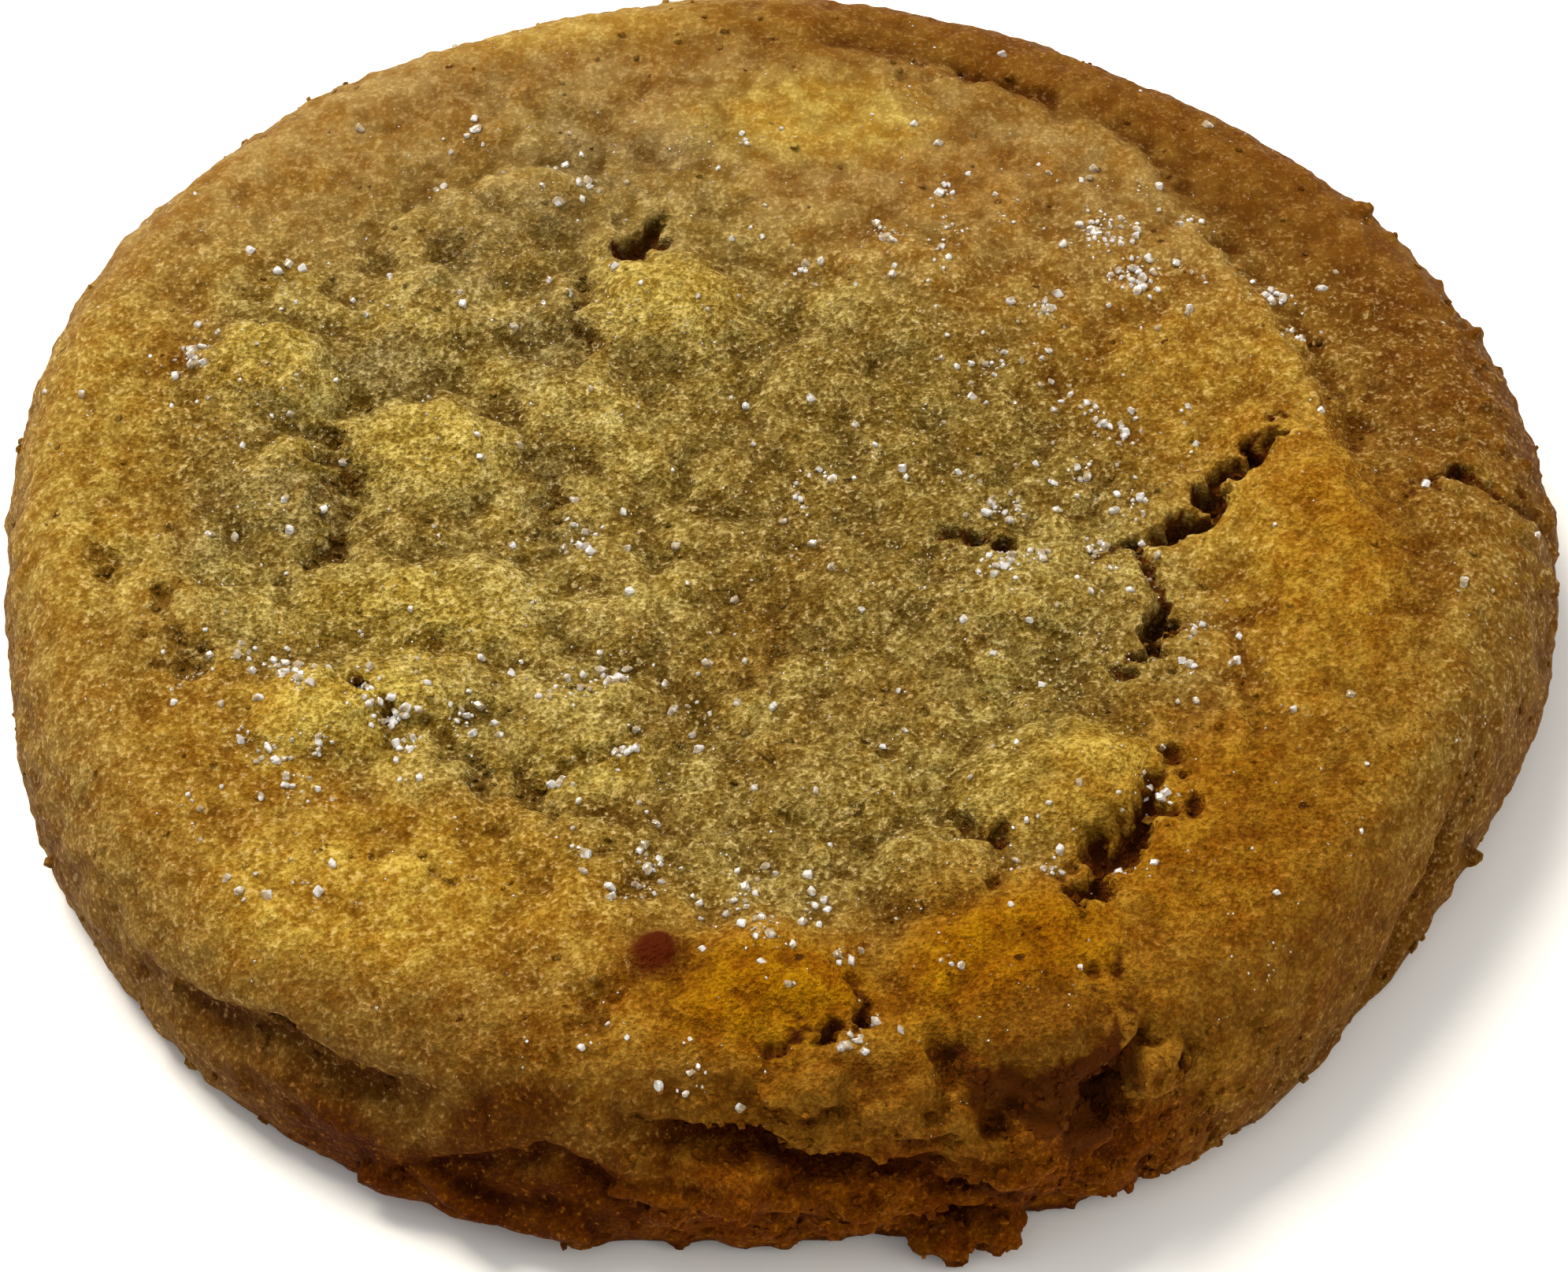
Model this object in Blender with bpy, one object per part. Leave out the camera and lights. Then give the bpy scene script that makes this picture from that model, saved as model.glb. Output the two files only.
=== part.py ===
"""A sugar cookie: one thick baked piece with a browned rim, a sunken lumpy middle, cracks, a crumbled
front edge, the largest grains of its sugar topping and a flat base.

A Blender script in metres, +Z up. The origin is on the table under the middle of the cookie. +X is the
cookie's right and -Y its front, where the edge has crumbled. The sizes below are in millimetres.
"""

import math

import bmesh
import bpy
import numpy as np
from mathutils import Euler, Matrix, Vector, noise

MM = 0.001

# Driving sizes.
DIAMETER = 80.0
THICKNESS = 11.6
DISH = 1.0  # how far the middle sank below the rim as it cooled
FOOT_TUCK = 0.8  # how far the foot curls in under the widest place
SUGAR_GRAIN = 0.95  # the largest grains of the topping

RADIUS = DIAMETER / 2

# The middle of the finished outline, which the origin lies under. Places below are from the middle of the
# round of dough before it crumbled.
MIDDLE = (-0.04, -1.50)

# The outline and the wall, as sections every 30 degrees from +X, anticlockwise seen from above:
# shoulder radius, shoulder height, widest radius and the height it is at, as shares of RADIUS and THICKNESS.
SECTIONS = (
    (0.850, 0.965, 0.998, 0.34),
    (0.800, 0.890, 0.972, 0.34),
    (0.790, 0.880, 0.945, 0.38),
    (0.810, 0.930, 0.945, 0.38),
    (0.840, 0.950, 0.966, 0.38),
    (0.890, 0.965, 1.018, 0.38),
    (0.900, 0.965, 1.000, 0.38),
    (0.900, 0.975, 1.032, 0.32),
    (0.885, 0.980, 1.034, 0.22),
    (0.860, 0.985, 0.990, 0.24),
    (0.858, 0.990, 1.004, 0.28),
    (0.865, 1.000, 0.964, 0.34),
)

# Lumps of dough that stand out of the top: centre, half length, half width, turn in degrees, height.
LUMPS = (
    (-26.5, 7.2, 4.4, 4.0, 0, 1.35),
    (-6.3, 12.3, 5.2, 4.2, 10, 1.25),
    (-18.6, 12.2, 5.2, 3.2, 8, 0.85),
    (-14.5, 19.0, 6.0, 2.8, 14, 0.75),
    (-18.3, 2.6, 4.6, 3.5, -8, 1.10),
    (-25.4, -0.6, 3.8, 2.8, 20, 0.95),
    (-10.6, 5.2, 3.6, 3.0, 40, 0.70),
    (-15.8, -7.4, 5.2, 3.2, -12, 1.00),
    (-30.8, -8.4, 3.0, 3.6, 0, 0.60),
    (-17.6, -12.8, 3.8, 2.4, 12, 0.85),
    (-22.4, -14.8, 4.4, 3.2, 25, 0.90),
    (-6.5, -8.0, 4.6, 3.4, 25, 0.65),
    (-8.6, -14.6, 4.2, 3.0, -10, 0.65),
    (2.2, -18.6, 4.8, 3.4, -20, 0.65),
    (13.2, -19.6, 5.4, 4.2, 16, 1.25),
    (11.6, -7.2, 5.6, 3.6, 10, 0.85),
    (16.8, -6.6, 2.2, 3.6, 0, 0.50),
    (3.4, -6.4, 4.2, 3.6, 0, 0.50),
    (5.8, 13.4, 4.8, 4.2, -20, 0.60),
    (1.6, 7.6, 3.4, 2.6, 0, 0.45),
    (7.3, -24.6, 3.7, 3.2, 0, 0.85),
    (-9.6, -28.6, 3.2, 4.2, 0, 0.65),
    (-0.4, -30.6, 4.6, 3.2, -12, 0.70),
    (11.0, -29.6, 6.0, 4.4, 0, 1.00),
    (27.0, -4.0, 4.4, 9.5, 14, 1.05),
    (-6.1, -30.3, 1.5, 1.6, 0, 0.70),
)

# Cracks, folds and hollows in the top: half width, depth, then the points they run through.
CRACKS = (
    (0.75, 2.8, ((25.4, 5.2), (24.4, 2.9), (23.2, 1.0), (21.7, 0.2), (20.8, -1.9), (18.6, -3.2), (15.5, -4.0))),
    (0.55, 2.3, ((18.2, -3.4), (18.6, -5.4), (19.1, -7.6), (18.5, -10.0), (17.6, -11.4), (15.4, -11.7))),
    (0.50, 1.8, ((7.6, -3.4), (9.9, -3.6), (12.0, -2.9))),
    (0.65, 2.1, ((32.0, -2.9), (32.8, -0.4), (33.9, 0.8), (35.4, 0.0), (37.8, -0.7), (41.5, -0.6))),
    (0.55, 1.1, ((-22.8, -12.0), (-20.2, -14.0), (-18.4, -17.4))),
    (0.90, 0.7, ((-18.4, -16.2), (-15.2, -17.8), (-12.6, -19.4), (-11.2, -22.2))),
    (0.80, 0.6, ((-13.0, -19.2), (-9.4, -17.4), (-6.4, -15.8))),
    (1.15, 1.7, ((18.4, -16.8), (18.2, -20.6), (16.6, -23.0), (14.6, -26.0), (14.0, -29.0))),
    (0.90, 0.45, ((22.0, -7.0), (23.0, -11.5), (23.4, -15.6), (22.2, -19.4))),
    (0.90, 1.4, ((-9.8, 16.0), (-7.9, 16.4), (-6.0, 18.8))),
    (0.70, 0.8, ((-10.7, 16.2), (-11.0, 11.6), (-10.4, 7.8))),
    (0.70, 0.7, ((-12.2, 3.4), (-12.0, -1.0), (-12.6, -4.4))),
    (0.85, 0.8, ((-26.0, 3.2), (-23.2, 3.0), (-22.6, 0.6), (-22.4, -3.8), (-25.0, -7.0))),
    (0.70, 0.4, ((-34.4, -3.0), (-34.2, -5.8), (-33.2, -7.8))),
    (0.80, 0.6, ((-30.8, -7.2), (-30.4, -10.6), (-27.6, -13.6))),
    (0.65, 0.7, ((-17.6, -24.4), (-14.4, -26.0))),
    (0.65, 0.5, ((-9.0, -30.6), (-8.8, -33.0), (-9.8, -35.8))),
    (0.75, 1.8, ((3.0, -30.0), (3.7, -33.0), (2.4, -34.7), (-1.8, -35.3))),
    (0.80, 3.2, ((7.0, -35.2), (8.7, -36.5), (11.1, -36.9), (14.2, -36.4), (15.9, -34.6), (16.6, -32.4))),
    (0.50, 1.4, ((16.6, -32.4), (16.2, -31.4), (15.0, -31.4), (14.3, -31.9))),
    (0.65, 2.2, ((14.4, -36.4), (15.6, -38.6))),
    (0.60, 0.9, ((6.6, -21.6), (8.7, -21.7), (9.9, -23.1), (10.2, -25.5), (11.4, -26.0))),
    (0.90, 0.5, ((4.6, 30.4), (13.0, 28.9), (16.0, 25.8))),
    (0.90, 0.35, ((19.6, 25.0), (19.8, 22.0), (22.8, 17.6), (25.0, 13.4), (27.2, 9.4), (28.6, 4.6), (31.4, -2.2))),
)

# Folds in the wall, where the dough above hangs over what is below: half width, depth, then places as the
# angle from +X and the height.
FOLDS = (
    (0.80, 1.0, ((219, 5.6), (227, 6.4), (233, 8.0), (238, 7.3), (243, 8.0), (248, 8.6))),
    (0.60, 0.9, ((243.0, 3.0), (245, 3.6), (248.5, 5.1), (253.3, 6.7), (256.1, 6.1), (259.4, 4.9), (262, 3.4))),
    (0.60, 1.7, ((258.5, 8.9), (261.4, 8.4), (264.7, 8.1), (268, 7.9), (270.2, 7.0), (274, 6.5), (280, 6.1), (283, 5.6))),
    (0.60, 1.2, ((270.8, 6.8), (271.6, 5.4), (271.3, 3.8))),
    (0.80, 1.5, ((316, 1.4), (319.7, 2.8), (322.5, 4.4), (326, 5.6), (330, 7.0), (334, 8.2))),
    (0.60, 1.2, ((278.2, 2.6), (281, 2.1), (283.5, 2.3), (286, 1.8))),
    (0.60, 1.5, ((280, 5.6), (283, 5.2), (285.5, 4.4), (288, 3.6))),
    (0.60, 3.2, ((282.6, 10.9), (285.1, 10.0), (287.0, 9.5), (289.2, 9.0), (292.3, 9.0), (294.0, 9.3), (296.2, 10.6))),
    (0.70, 2.0, ((288.2, 6.5), (289.6, 6.9), (291.5, 7.2), (293.2, 7.6), (294.6, 8.4))),
)

# Pieces of crumb that the broken front edge left standing out, the first two of them over the rim: angle,
# height, how far the middle is from the widest radius, then half length along the wall, half height and
# half depth.
CRAGS = (
    (290.4, 9.5, -5.9, 5.2, 2.9, 5.1),
    (266.8, 9.6, -6.9, 5.4, 3.0, 2.8),
    (264.8, 4.9, -1.1, 4.5, 1.9, 2.2),
    (275.6, 4.0, -0.8, 3.0, 1.7, 1.8),
    (286.8, 6.0, -0.9, 3.3, 1.9, 1.9),
    (291.0, 4.3, -0.4, 1.5, 1.0, 1.4),
    (288.5, 7.9, -1.9, 1.5, 1.1, 1.4),
    (295.0, 4.0, -1.0, 1.6, 1.2, 1.3),
    (281.4, 7.9, -2.1, 2.2, 1.4, 1.5),
    (277.0, 8.6, -2.0, 2.8, 1.7, 1.7),
    (271.6, 10.0, -2.9, 2.2, 1.3, 1.5),
    (296.8, 8.0, -1.7, 1.8, 1.4, 1.5),
    (281.2, 0.9, 0.1, 1.7, 0.8, 1.5),
    (284.6, 1.1, 0.2, 1.4, 0.9, 1.4),
    (255.4, 1.2, -0.4, 1.4, 1.1, 1.2),
    (248.5, 2.2, -0.9, 5.0, 1.7, 1.7),
    (332.0, 3.0, -0.7, 1.2, 0.9, 1.2),
)

# Where the largest sugar grains landed on the top.
SUGAR = (
    (-10.7, -2.7), (-10.0, -3.9), (-30.3, 8.0), (-16.7, 24.5), (-10.2, 20.8), (-2.3, 23.7), (16.5, 18.0),
    (17.4, 17.1), (8.5, 20.0), (5.5, 17.5), (8.5, 16.8), (18.2, 14.8), (25.9, 13.7), (21.3, 19.0),
    (1.3, 15.0), (13.4, 11.7), (11.0, 8.3), (16.0, 4.6), (17.4, 3.9), (15.2, 0.9), (17.8, -1.0),
    (15.7, -4.9), (12.9, -4.9), (1.0, -1.2), (20.7, -9.4), (-29.7, -12.7), (-26.8, -16.7), (-26.8, -11.0),
    (-23.8, -11.6), (-20.0, -12.2), (-25.3, -18.2), (-11.0, -15.4), (-10.5, -12.6), (-6.5, -24.4),
    (-23.0, -25.7), (-1.2, -28.4), (1.4, -27.0), (13.0, -24.4), (17.5, -14.6), (-4.2, -36.4),
)

# Slow swell, pillowy lumps and crumb: wave length and height of each.
SWELL = (15.0, 0.50)
PILLOWS = (5.8, 0.52)
CRUMB = (2.6, 0.24)

# Mesh density: cells across the top, rows down the wall, and where cells are halved, as the distance from
# a crack and how deep the crack must be.
TOP_CELLS = 36
WALL_ROWS = 7
REFINE = ((1.5, 0.85), (0.9, 1.7))
CRUMBLED_SIDE = (256, 302)


def smoothstep(low, high, value):
    t = np.clip((value - low) / (high - low), 0, 1)
    return t * t * (3 - 2 * t)


def ripple(points, wave, offset=0.0):
    """Smooth noise, about -0.5 to 0.5, at each point."""
    return np.array([noise.noise(place) for place in points / wave + offset])


def pillow(points, wave):
    """Rounded cells, 0 in the creases between them and 1 on their crowns."""
    near = np.array([noise.voronoi(place)[0][:2] for place in points / wave])
    return smoothstep(0.0, 0.5, near[:, 1] - near[:, 0])


def turned(angle, reference):
    """Angle from a reference, between -180 and 180 degrees."""
    return (angle - reference + 180) % 360 - 180


def section_at(angle):
    """Shoulder radius and height, widest radius and height, in each direction, by a Catmull-Rom curve."""
    sections = np.array(SECTIONS) * (RADIUS, THICKNESS, RADIUS, THICKNESS)
    place = (angle % 360) / (360 / len(sections))
    first = np.floor(place).astype(int)
    a, b, c, d = (sections[(first + step) % len(sections)] for step in (-1, 0, 1, 2))
    t = (place - first)[:, None]
    return (b + 0.5 * t * (c - a + t * (2 * a - 5 * b + 4 * c - d + t * (3 * (b - c) + d - a)))).T


def wall_curve(angle, down):
    """Radius and height at this share of the way down the wall: a round shoulder, then the tucked foot."""
    shoulder, top, widest, middle = section_at(angle)
    knee = 0.68
    upper = np.radians(90) * np.clip(down / knee, 0, 1)
    lower = np.radians(90) * np.clip((down - knee) / (1 - knee), 0, 1)
    radius = shoulder + (widest - shoulder) * np.sin(upper) - FOOT_TUCK * (1 - np.cos(lower))
    height = middle * (1 - np.sin(lower)) + (top - middle) * np.cos(upper)
    return radius, height


def nearest_on_path(x, y, path):
    """Distance of each point from a line through several points, and the share of its length passed there."""
    path = np.array(path, float)
    steps = np.diff(path, axis=0)
    lengths = np.hypot(*steps.T)
    passed = np.concatenate([[0], np.cumsum(lengths)]) / lengths.sum()
    nearest, where = np.full(len(x), np.inf), np.zeros(len(x))
    for index, ((start_x, start_y), (step_x, step_y)) in enumerate(zip(path, steps)):
        along = np.clip(((x - start_x) * step_x + (y - start_y) * step_y) / lengths[index] ** 2, 0, 1)
        away = np.hypot(start_x + step_x * along - x, start_y + step_y * along - y)
        share = passed[index] + along * (passed[index + 1] - passed[index])
        where = np.where(away < nearest, share, where)
        nearest = np.minimum(nearest, away)
    return nearest, where


def lump_height(x, y):
    """Height of the tallest lump at each point: domes with steep sides."""
    tallest = np.zeros(len(x))
    for centre_x, centre_y, length, width, turn, height in LUMPS:
        spin = math.radians(turn)
        dx, dy = x - centre_x, y - centre_y
        along = (dx * math.cos(spin) + dy * math.sin(spin)) / length
        across = (dy * math.cos(spin) - dx * math.sin(spin)) / width
        tallest = np.maximum(tallest, height * (1 - smoothstep(0.35, 1.15, np.hypot(along, across))))
    return tallest


def crack_depth(x, y):
    """Depth of the deepest crack at each point. Cracks narrow to their ends and have ragged sides."""
    flat = np.column_stack([x, y, np.zeros(len(x))])
    ragged_x, ragged_y = x + 1.3 * ripple(flat, 1.7, 7.3), y + 1.3 * ripple(flat, 1.7, 31.9)
    deepest = np.zeros(len(x))
    for width, depth, path in CRACKS:
        away, where = nearest_on_path(ragged_x, ragged_y, path)
        taper = 0.35 + 0.65 * smoothstep(0.0, 0.3, np.minimum(where, 1 - where))
        deepest = np.maximum(deepest, depth * taper * (1 - smoothstep(0.2, 1.5, away / (width * taper))))
    return deepest


def terrace_drop(angle, radius):
    """The step down to a lower terrace that runs round the back right."""
    side = turned(angle, 0)
    side = smoothstep(-8, 12, side) * (1 - smoothstep(78, 92, side))
    edge = 28.6 + 2.6 * smoothstep(34, 60, turned(angle, 0))
    return 1.1 * side * smoothstep(edge - 0.9, edge + 1.1, radius)


def top_points(angle, share):
    """Points of the top, at a share of the way from the middle to the shoulder."""
    shoulder, rim_height, _, _ = section_at(angle)
    radius = shoulder * share
    x, y = radius * np.cos(np.radians(angle)), radius * np.sin(np.radians(angle))
    flat = np.column_stack([x, y, np.zeros(len(x))])
    level = THICKNESS * 0.975
    height = level + (rim_height - level) * smoothstep(0.5, 1.0, share) - DISH * (1 - smoothstep(0.45, 0.93, share))
    height += lump_height(x, y) - terrace_drop(angle, radius) - crack_depth(x, y)
    height += SWELL[1] * ripple(flat, SWELL[0]) + CRUMB[1] * ripple(flat, CRUMB[0])
    calm = (1 - smoothstep(0.72, 0.95, share)) * (1 - 0.6 * smoothstep(-10, 4, x))
    height += PILLOWS[1] * (pillow(flat, PILLOWS[0]) - 0.6) * calm
    return np.column_stack([x, y, height])


def fold_depth(angle, height, radius):
    """How deep the folds cut into the wall: sharp under the upper lip, easing out below."""
    deepest = np.zeros(len(angle))
    for width, depth, places in FOLDS:
        middle = sum(place[0] for place in places) / len(places)
        path = [(math.radians(at - middle) * RADIUS, high) for at, high in places]
        along = np.radians(turned(angle, middle)) * radius
        level = np.interp(along, *zip(*path))
        below = np.where(height < level, level - (level - height) / 2.6, height)
        away, where = nearest_on_path(along, below, path)
        taper = 0.3 + 0.7 * smoothstep(0.0, 0.3, np.minimum(where, 1 - where))
        deepest = np.maximum(deepest, depth * taper * (1 - smoothstep(0.2, 1.3, away / width)))
    return deepest


def wall_points(angle, down):
    """Points of the wall, pushed in or out along the wall's own outward direction."""
    radius, height = wall_curve(angle, down)
    before, after = wall_curve(angle, np.maximum(0, down - 0.02)), wall_curve(angle, np.minimum(1, down + 0.02))
    out, up = before[1] - after[1], after[0] - before[0]
    length = np.hypot(out, up)
    x, y = radius * np.cos(np.radians(angle)), radius * np.sin(np.radians(angle))
    solid = np.column_stack([x, y, height])
    # The shoulder keeps the top's own relief, which fades out down the wall as the wall's relief comes in.
    rim = top_points(angle, np.ones(len(angle)))
    edge = rim[:, 2] + crack_depth(rim[:, 0], rim[:, 1]) - section_at(angle)[1]
    fade = 1 - smoothstep(0.0, 0.45, down)
    foot = 1 - smoothstep(0.85, 1.0, down)
    crumbled = smoothstep(254, 266, angle) * (1 - smoothstep(298, 310, angle))
    push = SWELL[1] * ripple(solid, SWELL[0]) + CRUMB[1] * (1 + crumbled) * ripple(solid, CRUMB[0])
    push += PILLOWS[1] * (0.3 + 0.6 * crumbled) * (pillow(solid, PILLOWS[0] * 0.7) - 0.6)
    push = push * (1 - fade) - fold_depth(angle, height, radius) * foot
    # The cracks that reach the edge run on down the wall and fade out.
    push -= crack_depth(x, y) * (1 - smoothstep(0.0, 0.7, down))
    reach = radius + out / length * push
    height = np.where(down < 1, np.maximum(0.05, height + (edge * fade + up / length * push) * foot), 0)
    return np.column_stack([reach * np.cos(np.radians(angle)), reach * np.sin(np.radians(angle)), height])


def places_of(flat):
    """Angle, share of the way out over the top and share of the way down the wall, of the flat pattern.

    The pattern's square, 2 across, becomes the round top, and its skirt, 1 deep, becomes the wall."""
    across, up = flat[:, 0], flat[:, 1]
    share = np.maximum(np.abs(across), np.abs(up))
    safe = np.maximum(share, 1e-9)
    sideways = np.abs(across) >= np.abs(up)
    right = 45 * up / safe * np.sign(across) + np.where(across > 0, 0, 180)
    back = 90 - 45 * across / safe * np.sign(up) + np.where(up > 0, 0, 180)
    return np.where(sideways, right, back) % 360, np.minimum(share, 1), np.clip(-flat[:, 2], 0, 1)


def cookie_points(flat):
    """Where points of the flat pattern go on the cookie, in millimetres."""
    angle, share, down = places_of(flat)
    on_wall = down > 1e-6
    points = np.empty((len(flat), 3))
    points[~on_wall] = top_points(angle[~on_wall], share[~on_wall])
    points[on_wall] = wall_points(angle[on_wall], down[on_wall])
    return points


def flat_pattern():
    """A square grid with a skirt of several rows hanging from its edge."""
    pattern = bmesh.new()
    bmesh.ops.create_grid(pattern, x_segments=TOP_CELLS, y_segments=TOP_CELLS, size=1.0)
    lowest = [edge for edge in pattern.edges if edge.is_boundary]
    for _ in range(WALL_ROWS):
        made = bmesh.ops.extrude_edge_only(pattern, edges=lowest)["geom"]
        verts = [item for item in made if isinstance(item, bmesh.types.BMVert)]
        bmesh.ops.translate(pattern, verts=verts, vec=(0, 0, -1 / WALL_ROWS))
        lowest = [item for item in made if isinstance(item, bmesh.types.BMEdge) and item.is_boundary]
    return pattern


def refine(pattern, within, deeper_than, wall_too):
    """Halves the cells of the pattern near the cracks, and on the crumbled side of the wall."""
    edges = [edge for edge in pattern.edges if not edge.is_boundary]
    middles = np.array([(edge.verts[0].co + edge.verts[1].co) / 2 for edge in edges])
    angle, share, down = places_of(middles)
    radius = section_at(angle)[0] * share
    x, y = radius * np.cos(np.radians(angle)), radius * np.sin(np.radians(angle))
    near = np.zeros(len(edges), bool)
    for _, depth, path in CRACKS:
        if depth > deeper_than:
            near |= (nearest_on_path(x, y, path)[0] < within) & (down < 1e-6)
    if wall_too:
        near |= (down > 1e-6) & (down < 0.99) & (angle > CRUMBLED_SIDE[0]) & (angle < CRUMBLED_SIDE[1])
    chosen = [edge for edge, wanted in zip(edges, near) if wanted]
    bmesh.ops.subdivide_edges(pattern, edges=chosen, cuts=1, use_grid_fill=True)


def add_object(name, shape, collection):
    mesh = bpy.data.meshes.new(name)
    shape.to_mesh(mesh)
    shape.free()
    obj = bpy.data.objects.new(name, mesh)
    collection.objects.link(obj)
    return obj


def build_body(collection):
    """The body: the flat pattern bent into the cookie and closed by a flat base, fanned from its middle."""
    body = flat_pattern()
    for index, (within, deeper_than) in enumerate(REFINE):
        refine(body, within, deeper_than, index == 0)
    points = cookie_points(np.array([vert.co for vert in body.verts])) * MM
    for vert, point in zip(body.verts, points):
        vert.co = point
    foot = [edge for edge in body.edges if edge.is_boundary]
    base = bmesh.ops.contextual_create(body, geom=foot)["faces"]
    bmesh.ops.poke(body, faces=base)
    bmesh.ops.triangulate(body, faces=body.faces, quad_method="SHORT_EDGE")
    bmesh.ops.recalc_face_normals(body, faces=body.faces)
    return add_object("cookie", body, collection)


def build_crag(index, crag, collection):
    """One rough lump of crumb, half buried in the wall, that clears the table."""
    angle, height, out, length, rise, depth = crag
    widest = section_at(np.array([float(angle)]))[2][0]
    turn = math.radians(angle)
    lump = bmesh.new()
    large = length > 5
    bmesh.ops.create_icosphere(lump, subdivisions=3 if large else 2, radius=1.0)
    for vert in lump.verts:
        rough = noise.noise(vert.co * 1.7 + Vector((index * 9.1, 0, 0)))
        vert.co *= 1 + (0.3 if large else 0.65) * rough
        vert.co = Vector((vert.co.x * depth, vert.co.y * length, vert.co.z * rise))
        vert.co.z = max(vert.co.z, 0.12 - height)
    place = Vector((math.cos(turn), math.sin(turn), 0)) * (widest + out) + Vector((0, 0, height))
    lump.transform(Matrix.Translation(place * MM) @ Matrix.Rotation(turn, 4, "Z") @ Matrix.Scale(MM, 4))
    return add_object(f"crag_{index}", lump, collection)


def build_grain(index, spot, height, collection):
    """One sugar grain: a small blunt crystal, sunk by half into the top."""
    grain = bmesh.new()
    bmesh.ops.create_icosphere(grain, subdivisions=1, radius=SUGAR_GRAIN / 2)
    tilt = Euler((index * 1.3, index * 2.1, index * 0.7)).to_matrix().to_4x4()
    stretch = Matrix.Diagonal((1.25, 0.95, 0.85 + 0.3 * (index % 3) / 2, 1))
    place = Vector((spot[0], spot[1], height + 0.12))
    grain.transform(Matrix.Translation(place * MM) @ tilt @ stretch @ Matrix.Scale(MM, 4))
    return add_object(f"grain_{index}", grain, collection)


def height_below(body, x, y):
    """Height of the top surface at a spot, in millimetres."""
    hit, place, _, _ = body.ray_cast(Vector((x * MM, y * MM, 0.05)), Vector((0, 0, -1)))
    return place.z / MM if hit else THICKNESS


def crumb_material():
    material = bpy.data.materials.new("baked_sugar_dough")
    material.use_nodes = True
    shader = material.node_tree.nodes["Principled BSDF"]
    shader.inputs["Base Color"].default_value = (0.42, 0.24, 0.06, 1)
    shader.inputs["Roughness"].default_value = 0.6
    shader.inputs["Metallic"].default_value = 0.0
    return material


def join_pieces(body, pieces):
    """Fuses the crags and grains with the body."""
    union = body.modifiers.new("fuse", "BOOLEAN")
    union.operation = "UNION"
    union.operand_type = "COLLECTION"
    union.collection = pieces
    union.solver = "EXACT"
    bpy.context.view_layer.update()
    fused = bpy.data.meshes.new_from_object(body.evaluated_get(bpy.context.evaluated_depsgraph_get()))
    body.modifiers.clear()
    body.data = fused
    for obj in list(pieces.objects):
        bpy.data.objects.remove(obj)


def keep_one_shell(shape):
    """Drops the slivers and sealed pockets that fusing can leave beside or inside the one body."""
    shells, seen = [], set()
    for face in shape.faces:
        if face in seen:
            continue
        seen.add(face)
        shell, waiting = [], [face]
        while waiting:
            here = waiting.pop()
            shell.append(here)
            pairs = [edge.link_faces for edge in here.edges if len(edge.link_faces) == 2]
            fresh = [beside for pair in pairs for beside in pair if beside not in seen]
            seen.update(fresh)
            waiting.extend(dict.fromkeys(fresh))
        shells.append(shell)
    largest = max(shells, key=len)
    extra = [face for shell in shells if shell is not largest for face in shell]
    bmesh.ops.delete(shape, geom=extra, context="FACES")


def finish(body):
    """Triangles, outward faces, the middle of the outline over the origin, and the material."""
    shape = bmesh.new()
    shape.from_mesh(body.data)
    bmesh.ops.remove_doubles(shape, verts=shape.verts, dist=0.02 * MM)
    bmesh.ops.triangulate(shape, faces=shape.faces)
    keep_one_shell(shape)
    bmesh.ops.recalc_face_normals(shape, faces=shape.faces)
    bmesh.ops.translate(shape, verts=shape.verts, vec=(-MIDDLE[0] * MM, -MIDDLE[1] * MM, 0))
    shape.to_mesh(body.data)
    shape.free()
    body.data.materials.clear()
    body.data.materials.append(crumb_material())
    body.data.shade_smooth()
    body.data.set_sharp_from_angle(angle=math.radians(50))


def main():
    for obj in list(bpy.data.objects):
        bpy.data.objects.remove(obj)
    collection = bpy.data.collections.new("sugar_cookie")
    pieces = bpy.data.collections.new("fused_pieces")
    pieces.hide_render = True
    for each in (collection, pieces):
        bpy.context.scene.collection.children.link(each)
    body = build_body(collection)
    bpy.context.view_layer.update()
    for index, crag in enumerate(CRAGS):
        build_crag(index, crag, pieces)
    for index, spot in enumerate(SUGAR):
        build_grain(index, spot, height_below(body, *spot), pieces)
    join_pieces(body, pieces)
    finish(body)


main()
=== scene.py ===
"""A sugar cookie: a browned crust with a pale lumpy middle, cracks, a crumbled front edge and sugar grains.

Sizes are in millimetres and become metres when a finished piece is moved to its place. Angles are in degrees
from +X, turning to the left.
"""

import math

import bmesh
import bpy
import numpy as np
from mathutils import Matrix, Vector, noise


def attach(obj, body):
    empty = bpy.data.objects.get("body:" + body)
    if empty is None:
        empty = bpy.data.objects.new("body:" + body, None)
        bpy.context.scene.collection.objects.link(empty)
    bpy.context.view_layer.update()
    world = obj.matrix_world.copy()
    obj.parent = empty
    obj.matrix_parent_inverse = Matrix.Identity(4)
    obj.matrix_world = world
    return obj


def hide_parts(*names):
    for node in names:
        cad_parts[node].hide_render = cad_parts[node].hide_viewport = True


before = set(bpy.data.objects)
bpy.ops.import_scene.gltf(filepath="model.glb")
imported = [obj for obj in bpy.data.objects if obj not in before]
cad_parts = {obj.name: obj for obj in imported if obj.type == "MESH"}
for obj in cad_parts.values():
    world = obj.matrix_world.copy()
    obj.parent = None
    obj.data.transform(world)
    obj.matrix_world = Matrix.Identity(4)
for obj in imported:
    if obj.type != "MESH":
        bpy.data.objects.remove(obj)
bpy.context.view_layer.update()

MM = 0.001

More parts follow.
